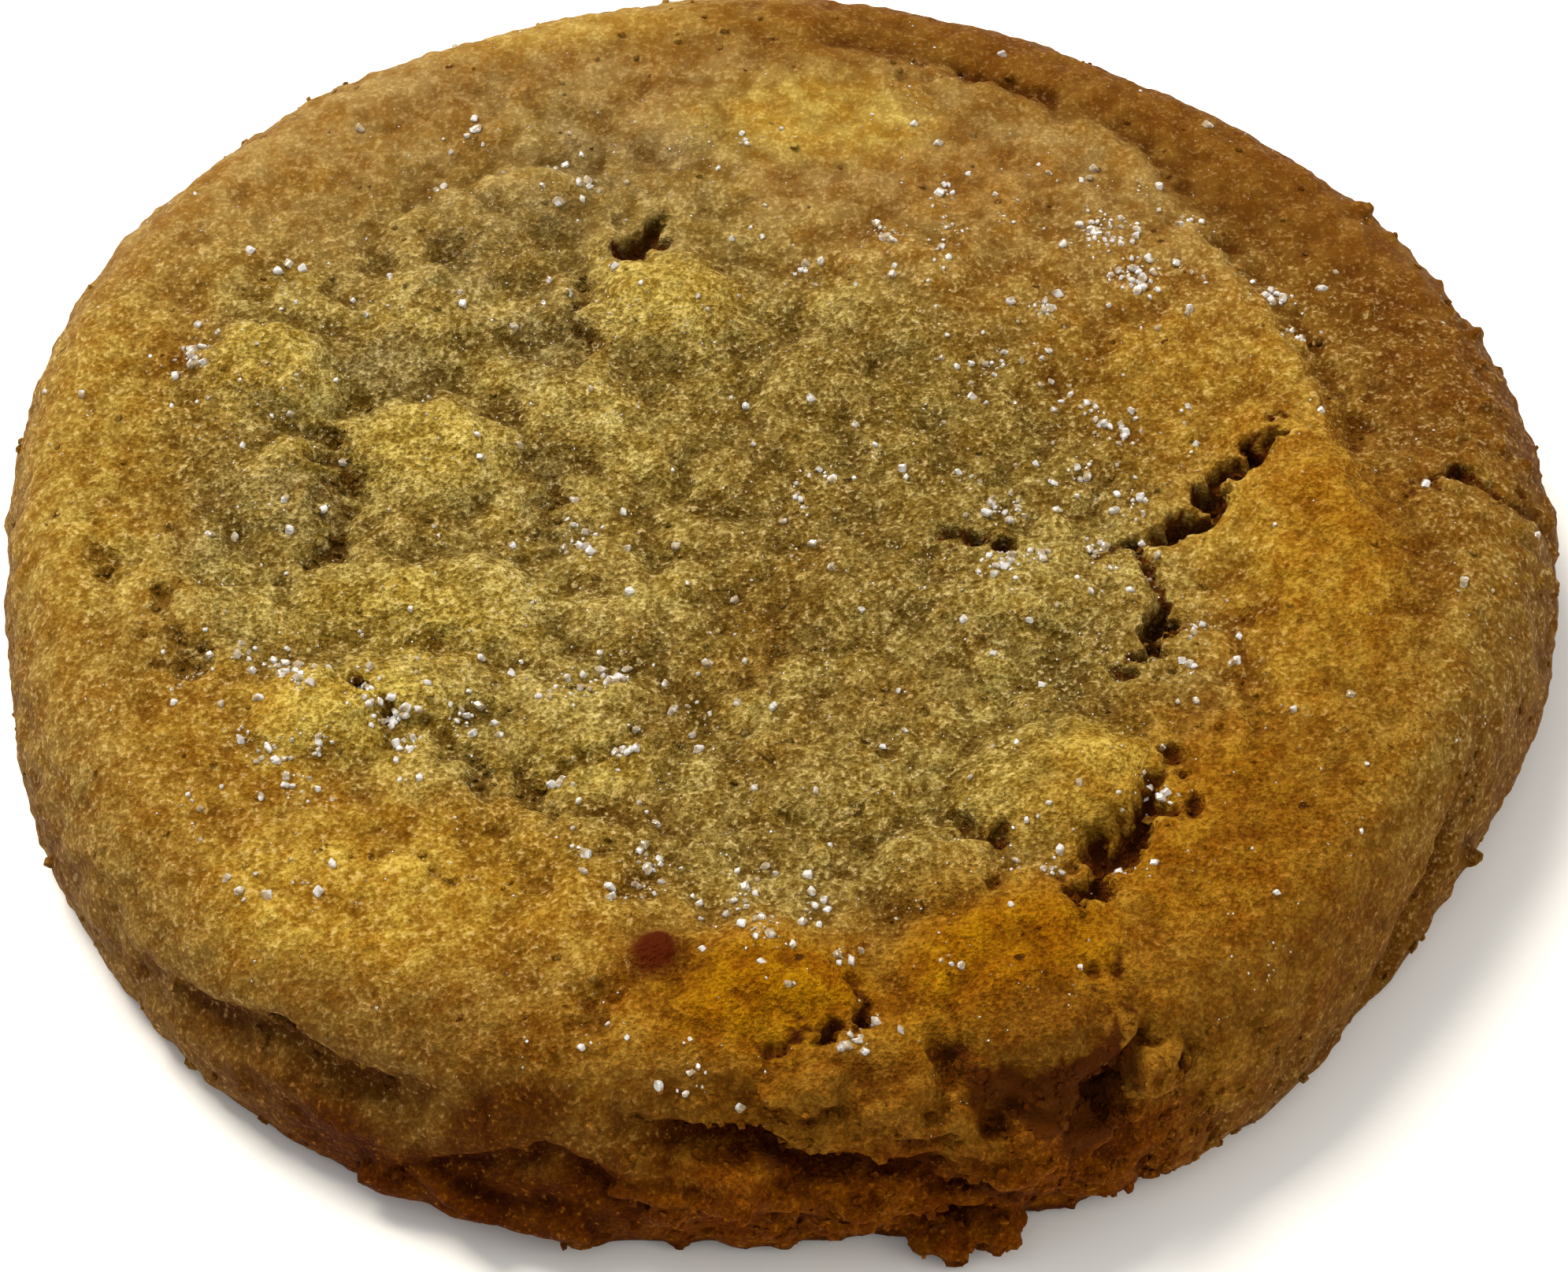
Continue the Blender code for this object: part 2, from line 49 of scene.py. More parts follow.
# Sizes of the baked body, the same as those of its solid.
RADIUS = 40.0
THICKNESS = 11.6
TOP_LEVEL = 0.975  # height of the top inside its rim, as a share
DISH = 1.0  # how far the middle sank below that level
WALL_KNEE = 0.68  # share of the way down the wall where it starts to tuck in
FOOT_TUCK = 0.8  # how far the foot tucks in
TERRACE_DROP = 1.1
TERRACE_EDGE = (28.6, 2.6)  # radius of its inner edge, and how much further out that runs at the back
MIDDLE = (-0.04, -1.50)  # middle of the finished outline, which the origin stands under

# Every 30 degrees from +X: shoulder radius and height, widest radius and its height, as shares.
SECTIONS = (
    (0.850, 0.965, 0.998, 0.34),
    (0.800, 0.890, 0.972, 0.34),
    (0.790, 0.880, 0.945, 0.38),
    (0.810, 0.930, 0.945, 0.38),
    (0.840, 0.950, 0.966, 0.38),
    (0.890, 0.965, 1.018, 0.38),
    (0.900, 0.965, 1.000, 0.38),
    (0.900, 0.975, 1.032, 0.32),
    (0.885, 0.980, 1.034, 0.22),
    (0.860, 0.985, 0.990, 0.24),
    (0.858, 0.990, 1.004, 0.28),
    (0.865, 1.000, 0.964, 0.34),
)

# Lumps in the top: centre, half length, half width, turn, height.
LUMPS = (
    (-26.5, 7.2, 4.4, 4.0, 0, 1.35),
    (-6.3, 12.3, 5.2, 4.2, 10, 1.25),
    (-18.6, 12.2, 5.2, 3.2, 8, 0.85),
    (-14.5, 19.0, 6.0, 2.8, 14, 0.75),
    (-18.3, 2.6, 4.6, 3.5, -8, 1.10),
    (-25.4, -0.6, 3.8, 2.8, 20, 0.95),
    (-10.6, 5.2, 3.6, 3.0, 40, 0.70),
    (-15.8, -7.4, 5.2, 3.2, -12, 1.00),
    (-30.8, -8.4, 3.0, 3.6, 0, 0.60),
    (-17.6, -12.8, 3.8, 2.4, 12, 0.85),
    (-22.4, -14.8, 4.4, 3.2, 25, 0.90),
    (-6.5, -8.0, 4.6, 3.4, 25, 0.65),
    (-8.6, -14.6, 4.2, 3.0, -10, 0.65),
    (2.2, -18.6, 4.8, 3.4, -20, 0.65),
    (13.2, -19.6, 5.4, 4.2, 16, 1.25),
    (11.6, -7.2, 5.6, 3.6, 10, 0.85),
    (16.8, -6.6, 2.2, 3.6, 0, 0.50),
    (3.4, -6.4, 4.2, 3.6, 0, 0.50),
    (5.8, 13.4, 4.8, 4.2, -20, 0.60),
    (1.6, 7.6, 3.4, 2.6, 0, 0.45),
    (7.3, -24.6, 3.7, 3.2, 0, 0.85),
    (-9.6, -28.6, 3.2, 4.2, 0, 0.65),
    (-0.4, -30.6, 4.6, 3.2, -12, 0.70),
    (11.0, -29.6, 6.0, 4.4, 0, 1.00),
    (27.0, -4.0, 4.4, 9.5, 14, 1.05),
    (-6.1, -30.3, 1.5, 1.6, 0, 0.70),
)

# Cracks, folds, hollows and pores in the top: half width, depth, points.
CRACKS = (
    (0.58, 2.8, ((25.4, 5.2), (24.4, 2.9), (23.2, 1.0), (21.7, 0.2), (20.8, -1.9), (18.6, -3.2), (15.5, -4.0))),
    (0.42, 2.3, ((18.2, -3.4), (18.6, -5.4), (19.1, -7.6), (18.5, -10.0), (17.6, -11.4), (15.4, -11.7))),
    (0.34, 1.8, ((7.6, -3.4), (9.9, -3.6), (12.0, -2.9))),
    (0.34, 2.1, ((32.0, -2.9), (32.8, -0.4), (33.9, 0.8), (35.4, 0.0), (37.8, -0.7), (41.5, -0.6))),
    (0.36, 1.1, ((-22.8, -12.0), (-20.2, -14.0), (-18.4, -17.4))),
    (0.90, 0.7, ((-18.4, -16.2), (-15.2, -17.8), (-12.6, -19.4), (-11.2, -22.2))),
    (0.80, 0.6, ((-13.0, -19.2), (-9.4, -17.4), (-6.4, -15.8))),
    (1.05, 1.7, ((18.4, -16.8), (18.2, -20.6), (16.6, -23.0), (14.6, -26.0), (14.0, -29.0))),
    (0.90, 0.45, ((22.0, -7.0), (23.0, -11.5), (23.4, -15.6), (22.2, -19.4))),
    (0.85, 1.4, ((-9.8, 16.0), (-7.9, 16.4), (-6.0, 18.8))),
    (0.60, 0.8, ((-10.7, 16.2), (-11.0, 11.6), (-10.4, 7.8))),
    (0.60, 0.7, ((-12.2, 3.4), (-12.0, -1.0), (-12.6, -4.4))),
    (0.80, 0.8, ((-26.0, 3.2), (-23.2, 3.0), (-22.6, 0.6), (-22.4, -3.8), (-25.0, -7.0))),
    (0.60, 0.4, ((-34.4, -3.0), (-34.2, -5.8), (-33.2, -7.8))),
    (0.80, 0.6, ((-30.8, -7.2), (-30.4, -10.6), (-27.6, -13.6))),
    (0.50, 0.7, ((-17.6, -24.4), (-14.4, -26.0))),
    (0.50, 0.5, ((-9.0, -30.6), (-8.8, -33.0), (-9.8, -35.8))),
    (0.48, 1.8, ((3.0, -30.0), (3.7, -33.0), (2.4, -34.7), (-1.8, -35.3))),
    (0.50, 3.2, ((7.0, -35.2), (8.7, -36.5), (11.1, -36.9), (14.2, -36.4), (15.9, -34.6), (16.6, -32.4))),
    (0.34, 1.4, ((16.6, -32.4), (16.2, -31.4), (15.0, -31.4), (14.3, -31.9))),
    (0.42, 2.2, ((14.4, -36.4), (15.6, -38.6))),
    (0.36, 1.6, ((22.2, -31.0), (22.7, -30.8))),
    (0.34, 1.3, ((4.7, 6.1), (5.1, 6.2))),
    (0.34, 1.3, ((-4.7, -1.4), (-4.4, -1.2))),
    (0.45, 0.9, ((6.6, -21.6), (8.7, -21.7), (9.9, -23.1), (10.2, -25.5), (11.4, -26.0))),
    (0.90, 0.5, ((4.6, 30.4), (13.0, 28.9), (16.0, 25.8))),
    (0.90, 0.35, ((19.6, 25.0), (19.8, 22.0), (22.8, 17.6), (25.0, 13.4), (27.2, 9.4), (28.6, 4.6), (31.4, -2.2))),
)
CRACK_SIDE = (0.2, 1.5)  # where a crack's side starts and ends, in half widths
# How the sides of cracks wander and fray: wave length and distance.
CRACK_WANDER = (1.7, 1.3)
CRACK_FRAY = (0.6, 1.0)
CRACK_GAPE = (1.3, 0.8)  # wave length in which cracks gape and close, and by how much
CRACK_WIDTH = 0.95  # the usual share of the listed width

# Folds in the wall: half width, depth, then places as angle and height.
FOLDS = (
    (0.80, 1.0, ((219, 5.6), (227, 6.4), (233, 8.0), (238, 7.3), (243, 8.0), (248, 8.6))),
    (0.42, 0.9, ((243.0, 3.0), (245, 3.6), (248.5, 5.1), (253.3, 6.7), (256.1, 6.1), (259.4, 4.9), (262, 3.4))),
    (
        0.50,
        1.7,
        ((258.5, 8.9), (261.4, 8.4), (264.7, 8.1), (268, 7.9), (270.2, 7.0), (274, 6.5), (280, 6.1), (283, 5.6)),
    ),
    (0.45, 1.2, ((270.8, 6.8), (271.6, 5.4), (271.3, 3.8))),
    (0.80, 1.5, ((316, 1.4), (319.7, 2.8), (322.5, 4.4), (326, 5.6), (330, 7.0), (334, 8.2))),
    (0.40, 1.2, ((278.2, 2.6), (281, 2.1), (283.5, 2.3), (286, 1.8))),
    (0.60, 1.5, ((280, 5.6), (283, 5.2), (285.5, 4.4), (288, 3.6))),
    (
        0.60,
        3.2,
        ((282.6, 10.9), (285.1, 10.0), (287.0, 9.5), (289.2, 9.0), (292.3, 9.0), (294.0, 9.3), (296.2, 10.6)),
    ),
    (0.70, 2.0, ((288.2, 6.5), (289.6, 6.9), (291.5, 7.2), (293.2, 7.6), (294.6, 8.4))),
)
FOLD_EASE = 2.6  # how much longer a fold's lower side is than its upper one

# Crags of the broken front edge: angle, height, middle from the widest radius, half length, rise, depth.
CRAGS = (
    (290.4, 9.5, -5.9, 5.2, 2.9, 5.1),
    (266.8, 9.6, -6.9, 5.4, 3.0, 2.8),
    (264.8, 4.9, -1.0, 4.6, 1.9, 2.2),
    (275.6, 4.0, -0.8, 3.0, 1.7, 1.8),
    (286.8, 6.0, -0.9, 3.3, 1.9, 1.9),
    (291.0, 4.3, -0.4, 1.5, 1.0, 1.4),
    (288.5, 7.9, -1.9, 1.5, 1.1, 1.4),
    (295.0, 4.0, -1.0, 1.6, 1.2, 1.3),
    (281.4, 7.9, -2.1, 2.2, 1.4, 1.5),
    (277.0, 8.6, -2.0, 2.8, 1.7, 1.7),
    (271.6, 10.0, -2.9, 2.2, 1.3, 1.5),
    (296.8, 8.0, -1.7, 1.8, 1.4, 1.5),
    (281.2, 0.9, 0.1, 1.7, 0.8, 1.5),
    (284.6, 1.1, 0.2, 1.4, 0.9, 1.4),
    (255.4, 1.2, -0.4, 1.4, 1.1, 1.2),
    (248.5, 2.2, -0.9, 5.0, 1.7, 1.7),
    (332.0, 3.0, -0.7, 1.2, 0.9, 1.2),
)
WHOLE_LENGTH = 5  # a crag with a half length above this kept its baked skin and is smoother
SMOOTH_CRAG, BROKEN_CRAG = 0.3, 0.65  # how rough they are, as a share of their size
FRONT_CRUMBS, RIGHT_CRUMBS = 80, 50
CRUMB_SIZE = (0.3, 0.8)
CRUMB_SINK = 0.25

# Relief of the whole body: wave length and height.
SWELL = (15.0, 0.50)
PILLOWS = (5.8, 0.52)
CRUMB = (2.6, 0.24)

# Finer relief, only in the skin that shows: wave length and height.
KNOBBLES = (2.2, 0.17)
GRIT = (1.0, 0.14)
FINE_GRIT = (0.55, 0.09)

PATTERN_CELLS, PATTERN_ROWS = 230, 38  # faces across the top and down the wall, before the skin is melted
SKIN_CELL = 0.26  # grain of the melted skin
SKIN_TRIANGLES = 196000
LOWEST_RELIEF = 0.12  # the wall's points stay this far above the flat base

# The pale middle, which the browning of the rim didn't reach.
PALE_OUTLINE = (
    (-33, -2), (-31, 6), (-29, 12), (-24, 18), (-18, 23), (-11, 26), (-5, 24), (-2, 18), (4, 14), (10, 10),
    (15, 4), (19, -1), (20, -8), (19, -15), (17, -20), (13, -25), (6, -28), (-2, -28.5), (-9, -27),
    (-14, -23), (-19, -19), (-25, -15), (-30, -11), (-33, -6),
)  # fmt: skip

# Patches of tint: centre, half length, half width, strength.
AMBER_PATCHES = (
    (11.4, -31.6, 8.5, 7.5, 1.0),
    (-1.0, -33.0, 9.0, 5.0, 1.0),
    (10.0, 21.5, 4.5, 3.5, 0.65),
    (28.5, -8.0, 4.5, 13.0, 0.6),
    (22.0, -24.0, 11.0, 11.0, 0.85),
    (14.0, -36.0, 17.0, 10.0, 0.95),
    (-8.0, -38.0, 11.0, 6.0, 0.7),
    (2.0, -38.5, 11.0, 5.0, 1.0),
    (26.0, 0.5, 4.0, 6.0, 0.3),
)
HONEY_PATCHES = (
    (-18.0, -26.0, 13.0, 6.5, 1.0),
    (-28.0, -18.0, 6.0, 7.0, 0.6),
    (21.0, 8.0, 7.5, 8.5, 0.6),
    (26.0, -6.0, 5.0, 12.0, 0.8),
    (-4.0, 31.0, 13.0, 3.5, 0.5),
    (-31.0, 4.0, 3.0, 8.0, 0.4),
)
DAMP_PATCHES = (
    (4.0, 0.0, 11.0, 13.0, 0.7),
    (12.0, 4.0, 8.0, 8.0, 0.7),
    (4.0, -20.0, 12.0, 8.0, 0.4),
    (-0.5, -8.0, 5.5, 4.2, 0.8),
    (-5.0, -13.5, 4.0, 6.0, 0.6),
    (-6.0, -22.5, 5.0, 4.0, 0.6),
    (0.0, 28.0, 24.0, 4.5, 0.45),
    (16.0, -13.0, 5.0, 5.0, 0.6),
)
# Painted highlight: a paler yellow on the crowns of lumps and on parts of the rim, where the light catches them.
PAINTED_HIGHLIGHT_PATCHES = (
    (-21.8, -15.6, 6.5, 4.4, 0.55),
    (-20.8, -14.0, 3.4, 2.2, 0.75),
    (13.8, -19.8, 6.0, 4.6, 0.3),
    (15.4, -17.9, 3.4, 2.8, 0.55),
    (-6.3, 12.8, 4.2, 3.4, 0.45),
    (-19.0, -9.0, 5.5, 3.5, 0.55),
    (-18.2, 2.4, 4.0, 3.0, 0.45),
    (1.8, 25.5, 7.0, 3.6, 0.5),
    (-10.0, -18.0, 4.0, 2.0, 0.4),
    (-20.0, -26.0, 8.0, 5.0, 0.5),
    (-26.5, 8.0, 3.0, 2.6, 0.4),
    (21.0, 7.0, 6.0, 5.0, 0.15),
    (-14.0, 33.0, 10.0, 3.0, 0.3),
    (-36.0, 0.0, 4.5, 14.0, 0.28),
    (37.5, -3.0, 3.0, 11.0, 0.25),
    (31.0, -16.0, 6.0, 9.0, 0.2),
    (22.8, -3.5, 2.6, 3.6, 0.4),
    (27.0, -10.0, 2.4, 6.0, 0.25),
    (0.0, 38.0, 20.0, 3.5, 0.3),
)
# Painted shade: a greyer, darker tone in the hollows and along the creases of the top.
PAINTED_HOLLOW_SHADE_PATCHES = (
    (-9.0, 22.6, 5.0, 2.4, 1.0),
    (-14.0, 19.0, 4.0, 2.4, 0.8),
    (-17.2, 14.6, 3.0, 2.0, 0.7),
    (-20.6, 8.0, 3.6, 2.4, 0.9),
    (-12.4, 10.0, 2.2, 3.6, 0.9),
    (-23.8, -1.6, 2.4, 3.0, 0.7),
    (-12.4, 0.0, 1.6, 4.6, 0.6),
    (-29.0, -3.0, 2.6, 4.0, 0.5),
    (-16.6, -17.0, 3.0, 2.0, 0.5),
    (21.0, -17.0, 2.0, 6.0, 0.5),
)
# The wall's deeper brown, with painted shade under the lip of the front.
WALL_BROWN_AND_SHADE_PATCHES = (
    (12.2, -34.4, 4.6, 2.4, 0.55),
    (4.0, -38.0, 6.0, 2.5, 0.35),
    (-4.0, -37.6, 6.0, 1.6, 0.5),
    (-13.5, -37.4, 4.5, 1.8, 0.9),
    (-21.8, -34.2, 3.2, 1.5, 0.5),
    (-22.5, -31.6, 3.6, 2.4, 0.35),
    (-17.0, -33.8, 3.8, 2.4, 0.4),
    (-12.4, -35.4, 4.0, 2.4, 0.4),
)
TOASTED_SPOT = (-6.1, -30.3, 1.4, 1.5)  # centre, half length, half width

# Attributes of the skin that its material reads.
TINTS = ("pale", "smooth", "damp", "brown", "wall", "amber", "honey", "painted_hollow_shade", "painted_highlight", "crease")
TINTS += ("crack", "toasted", "broken")

# Where sugar lies thickest: centre and radius of each cluster.
SUGAR_CLUSTERS = (
    (-10.7, -3.0, 1.0), (-30.3, 8.0, 0.9), (-25.8, 13.0, 0.4), (-16.7, 24.5, 0.5), (-10.2, 20.8, 0.7),
    (-2.3, 23.7, 0.7), (16.8, 17.6, 1.5), (8.5, 20.0, 0.8), (5.5, 17.5, 0.9), (8.7, 16.9, 1.1),
    (11.5, 18.2, 0.5), (18.2, 14.8, 1.2), (25.9, 13.7, 0.7), (26.5, 11.2, 0.5), (21.3, 19.0, 0.6),
    (18.8, 21.0, 0.5), (1.3, 15.0, 0.6), (13.3, 12.3, 0.9), (13.8, 9.0, 0.5), (10.9, 8.3, 0.9),
    (15.9, 4.7, 1.0), (17.6, 3.9, 1.0), (15.2, 0.9, 0.7), (17.8, -1.2, 0.9), (15.7, -4.4, 0.8),
    (11.3, -1.5, 0.9), (10.8, -5.2, 1.2), (13.0, -4.8, 0.7), (0.7, -1.2, 0.8), (2.2, 0.7, 0.5),
    (15.5, -7.4, 0.6), (20.7, -9.4, 0.8), (20.0, -12.0, 0.6), (-29.7, -12.7, 0.6), (-26.8, -16.7, 0.6),
    (-26.8, -11.0, 0.6), (-24.8, -12.0, 0.8), (-23.8, -13.3, 0.8), (-20.9, -13.2, 0.9), (-19.6, -15.0, 0.9),
    (-18.6, -16.8, 0.7), (-25.3, -18.0, 0.9), (-23.0, -17.2, 0.7), (-24.0, -19.5, 0.6), (-29.0, -21.0, 0.5),
    (-11.0, -19.0, 0.6), (-10.5, -13.3, 1.0), (-8.5, -12.5, 0.8), (-16.0, -15.0, 0.6), (-6.5, -24.2, 0.9),
    (-6.8, -25.9, 0.6), (-23.0, -25.7, 0.5), (-25.0, -26.3, 0.5), (-9.8, -24.0, 0.5), (-2.0, -26.5, 0.7),
    (-1.2, -29.0, 1.0), (3.0, -30.3, 0.6), (1.5, -27.0, 0.5), (7.7, -31.0, 0.5), (3.3, -35.0, 0.6),
    (13.0, -24.7, 0.6), (11.2, -24.5, 0.5), (16.3, -25.0, 0.5), (17.5, -20.0, 0.6), (18.7, -20.5, 0.5),
    (-5.2, -14.5, 0.6), (-7.7, -17.3, 0.6), (-9.2, -35.0, 0.5), (-4.2, -36.7, 0.5),
)  # fmt: skip

CAMERA_RISE = 51
CAMERA_AWAY = 320
CAMERA_LENS = 143.5
LOOKED_AT = (0.0, -4.6, 4.0)
FLOOR_GAP = 0.2  # the table top lies this far below the base, so that the two faces don't fight


def smoothstep(low, high, value):
    """0 below low, 1 above high and a soft rise between them."""
    t = np.clip((value - low) / (high - low), 0, 1)
    return t * t * (3 - 2 * t)


def ripple(points, wave, offset=0.0):
    """Smooth noise, about -0.5 to 0.5, at each point. Another offset gives another pattern."""
    return np.array([noise.noise(place) for place in points / wave + offset])


def pillow(points, wave):
    """Rounded cells, 0 in the creases between them and 1 on their crowns."""
    near = np.array([noise.voronoi(place)[0][:2] for place in points / wave])
    return smoothstep(0.0, 0.5, near[:, 1] - near[:, 0])


def turned(angle, reference):
    """Angle from a reference, between -180 and 180 degrees."""
    return (angle - reference + 180) % 360 - 180


def section_at(angle):
    """Shoulder radius and height, widest radius and its height, on smooth curves through the listed sections."""
    sections = np.array(SECTIONS) * (RADIUS, THICKNESS, RADIUS, THICKNESS)
    place = (angle % 360) / (360 / len(sections))
    first = np.floor(place).astype(int)
    a, b, c, d = (sections[(first + step) % len(sections)] for step in (-1, 0, 1, 2))
    t = (place - first)[:, None]
    return (b + 0.5 * t * (c - a + t * (2 * a - 5 * b + 4 * c - d + t * (3 * (b - c) + d - a)))).T


def wall_curve(angle, down):
    """Radius and height at this share of the way down the wall."""
    shoulder, top, widest, middle = section_at(angle)
    upper = np.radians(90) * np.clip(down / WALL_KNEE, 0, 1)
    lower = np.radians(90) * np.clip((down - WALL_KNEE) / (1 - WALL_KNEE), 0, 1)
    radius = shoulder + (widest - shoulder) * np.sin(upper) - FOOT_TUCK * (1 - np.cos(lower))
    height = middle * (1 - np.sin(lower)) + (top - middle) * np.cos(upper)
    return radius, height


def nearest_on_path(x, y, path):
    """Distance of each point from a line through several points, and the share of its length passed there."""
    path = np.array(path, float)
    steps = np.diff(path, axis=0)
    lengths = np.hypot(*steps.T)
    passed = np.concatenate([[0], np.cumsum(lengths)]) / lengths.sum()
    nearest, where = np.full(len(x), np.inf), np.zeros(len(x))
    for index, ((start_x, start_y), (step_x, step_y)) in enumerate(zip(path, steps)):
        along = np.clip(((x - start_x) * step_x + (y - start_y) * step_y) / lengths[index] ** 2, 0, 1)
        away = np.hypot(start_x + step_x * along - x, start_y + step_y * along - y)
        share = passed[index] + along * (passed[index + 1] - passed[index])
        where = np.where(away < nearest, share, where)
        nearest = np.minimum(nearest, away)
    return nearest, where


def lump_height(x, y):
    """Height of the tallest lump at each point."""
    tallest = np.zeros(len(x))
    for centre_x, centre_y, length, width, turn, height in LUMPS:
        spin = math.radians(turn)
        dx, dy = x - centre_x, y - centre_y
        along = (dx * math.cos(spin) + dy * math.sin(spin)) / length
        across = (dy * math.cos(spin) - dx * math.sin(spin)) / width
        tallest = np.maximum(tallest, height * (1 - smoothstep(0.35, 1.15, np.hypot(along, across))))
    return tallest


def crack_depth(x, y):
    """Depth of the deepest crack at each point. Cracks narrow to their ends and have ragged sides."""
    flat = np.column_stack([x, y, np.zeros(len(x))])
    (wave, far), (short, near), (breath, swing) = CRACK_WANDER, CRACK_FRAY, CRACK_GAPE
    ragged_x = x + far * ripple(flat, wave, 7.3) + near * ripple(flat, short, 3.1)
    ragged_y = y + far * ripple(flat, wave, 31.9) + near * ripple(flat, short, 17.7)
    gape = CRACK_WIDTH + swing * ripple(flat, breath, 53.1)
    deepest = np.zeros(len(x))
    for width, depth, path in CRACKS:
        away, where = nearest_on_path(ragged_x, ragged_y, path)
        taper = 0.35 + 0.65 * smoothstep(0.0, 0.3, np.minimum(where, 1 - where))
        opened = 1 - smoothstep(*CRACK_SIDE, away / (width * taper * gape))
        deepest = np.maximum(deepest, depth * taper * opened)
    return deepest


def terrace_drop(angle, radius):
    """The step down to a lower terrace that runs round the back right."""
    side = turned(angle, 0)
    there = smoothstep(-8, 12, side) * (1 - smoothstep(78, 92, side))
    edge = TERRACE_EDGE[0] + TERRACE_EDGE[1] * smoothstep(34, 60, side)
    return TERRACE_DROP * there * smoothstep(edge - 0.9, edge + 1.1, radius)


def top_points(angle, share):
    """Points of the top, at a share of the way from the middle to the shoulder."""
    shoulder, rim_height, _, _ = section_at(angle)
    radius = shoulder * share
    x, y = radius * np.cos(np.radians(angle)), radius * np.sin(np.radians(angle))
    flat = np.column_stack([x, y, np.zeros(len(x))])
    level = THICKNESS * TOP_LEVEL
    height = level + (rim_height - level) * smoothstep(0.5, 1.0, share) - DISH * (1 - smoothstep(0.45, 0.93, share))
    height += lump_height(x, y) - terrace_drop(angle, radius) - crack_depth(x, y)
    height += SWELL[1] * ripple(flat, SWELL[0]) + CRUMB[1] * ripple(flat, CRUMB[0])
    # The small pillows end before the rim and are weaker on the right.
    strong = (1 - smoothstep(0.72, 0.95, share)) * (1 - 0.6 * smoothstep(-10, 4, x))
    height += PILLOWS[1] * (pillow(flat, PILLOWS[0]) - 0.6) * strong
    return np.column_stack([x, y, height])


def fold_depth(angle, height, radius):
    """How deep the folds cut into the wall: sharp under the upper lip, easing out below."""
    deepest = np.zeros(len(angle))
    for width, depth, places in FOLDS:
        middle = sum(place[0] for place in places) / len(places)
        path = [(math.radians(at - middle) * RADIUS, high) for at, high in places]
        along = np.radians(turned(angle, middle)) * radius
        level = np.interp(along, *zip(*path))
        below = np.where(height < level, level - (level - height) / FOLD_EASE, height)
        away, where = nearest_on_path(along, below, path)
        taper = 0.3 + 0.7 * smoothstep(0.0, 0.3, np.minimum(where, 1 - where))
        deepest = np.maximum(deepest, depth * taper * (1 - smoothstep(0.2, 1.3, away / width)))
    return deepest


def crumbled_share(angle):
    """1 where the front edge broke away, 0 elsewhere."""
    return smoothstep(254, 266, angle) * (1 - smoothstep(298, 310, angle))


def wall_points(angle, down):
    """Points of the wall, pushed in or out along the wall's own outward direction."""
    radius, height = wall_curve(angle, down)
    before, after = wall_curve(angle, np.maximum(0, down - 0.02)), wall_curve(angle, np.minimum(1, down + 0.02))
    out, up = before[1] - after[1], after[0] - before[0]
    length = np.hypot(out, up)
    x, y = radius * np.cos(np.radians(angle)), radius * np.sin(np.radians(angle))
    solid = np.column_stack([x, y, height])
    rim = top_points(angle, np.ones(len(angle)))
    edge = rim[:, 2] + crack_depth(rim[:, 0], rim[:, 1]) - section_at(angle)[1]
    fade = 1 - smoothstep(0.0, 0.45, down)
    foot = 1 - smoothstep(0.85, 1.0, down)
    crumbled = crumbled_share(angle)
    push = SWELL[1] * ripple(solid, SWELL[0]) + CRUMB[1] * (1 + crumbled) * ripple(solid, CRUMB[0])
    push += PILLOWS[1] * (0.3 + 0.6 * crumbled) * (pillow(solid, PILLOWS[0] * 0.7) - 0.6)
    push = push * (1 - fade) - fold_depth(angle, height, radius) * foot
    push -= crack_depth(x, y) * (1 - smoothstep(0.0, 0.7, down))
    reach = radius + out / length * push
    height = np.where(down < 1, np.maximum(0.05, height + (edge * fade + up / length * push) * foot), 0)
    return np.column_stack([reach * np.cos(np.radians(angle)), reach * np.sin(np.radians(angle)), height])


def places_of(flat):
    """Angle, share of the way over the top and share of the way down the wall, of the flat pattern."""
    across, up = flat[:, 0], flat[:, 1]
    share = np.maximum(np.abs(across), np.abs(up))
    safe = np.maximum(share, 1e-9)
    sideways = np.abs(across) >= np.abs(up)
    right = 45 * up / safe * np.sign(across) + np.where(across > 0, 0, 180)
    back = 90 - 45 * across / safe * np.sign(up) + np.where(up > 0, 0, 180)
    return np.where(sideways, right, back) % 360, np.minimum(share, 1), np.clip(-flat[:, 2], 0, 1)


def body_pattern(cells, rows):
    """A square grid with a skirt of several rows hanging from its edge."""
    pattern = bmesh.new()
    bmesh.ops.create_grid(pattern, x_segments=cells, y_segments=cells, size=1.0)
    lowest = [edge for edge in pattern.edges if edge.is_boundary]
    for _ in range(rows):
        made = bmesh.ops.extrude_edge_only(pattern, edges=lowest)["geom"]
        verts = [item for item in made if isinstance(item, bmesh.types.BMVert)]
        bmesh.ops.translate(pattern, verts=verts, vec=(0, 0, -1 / rows))
        lowest = [item for item in made if isinstance(item, bmesh.types.BMEdge) and item.is_boundary]
    return pattern


def bend_body(shape):
    """Bends the flat pattern into the cookie and closes its base."""
    angle, share, down = places_of(np.array([vert.co for vert in shape.verts]))
    on_wall = down > 1e-6
    points = np.empty((len(angle), 3))
    points[~on_wall] = top_points(angle[~on_wall], share[~on_wall])
    points[on_wall] = wall_points(angle[on_wall], down[on_wall])
    for vert, point in zip(shape.verts, points):
        vert.co = point
    foot = [edge for edge in shape.edges if edge.is_boundary]
    base = bmesh.ops.contextual_create(shape, geom=foot)["faces"]
    bmesh.ops.poke(shape, faces=base)
    bmesh.ops.recalc_face_normals(shape, faces=shape.faces)


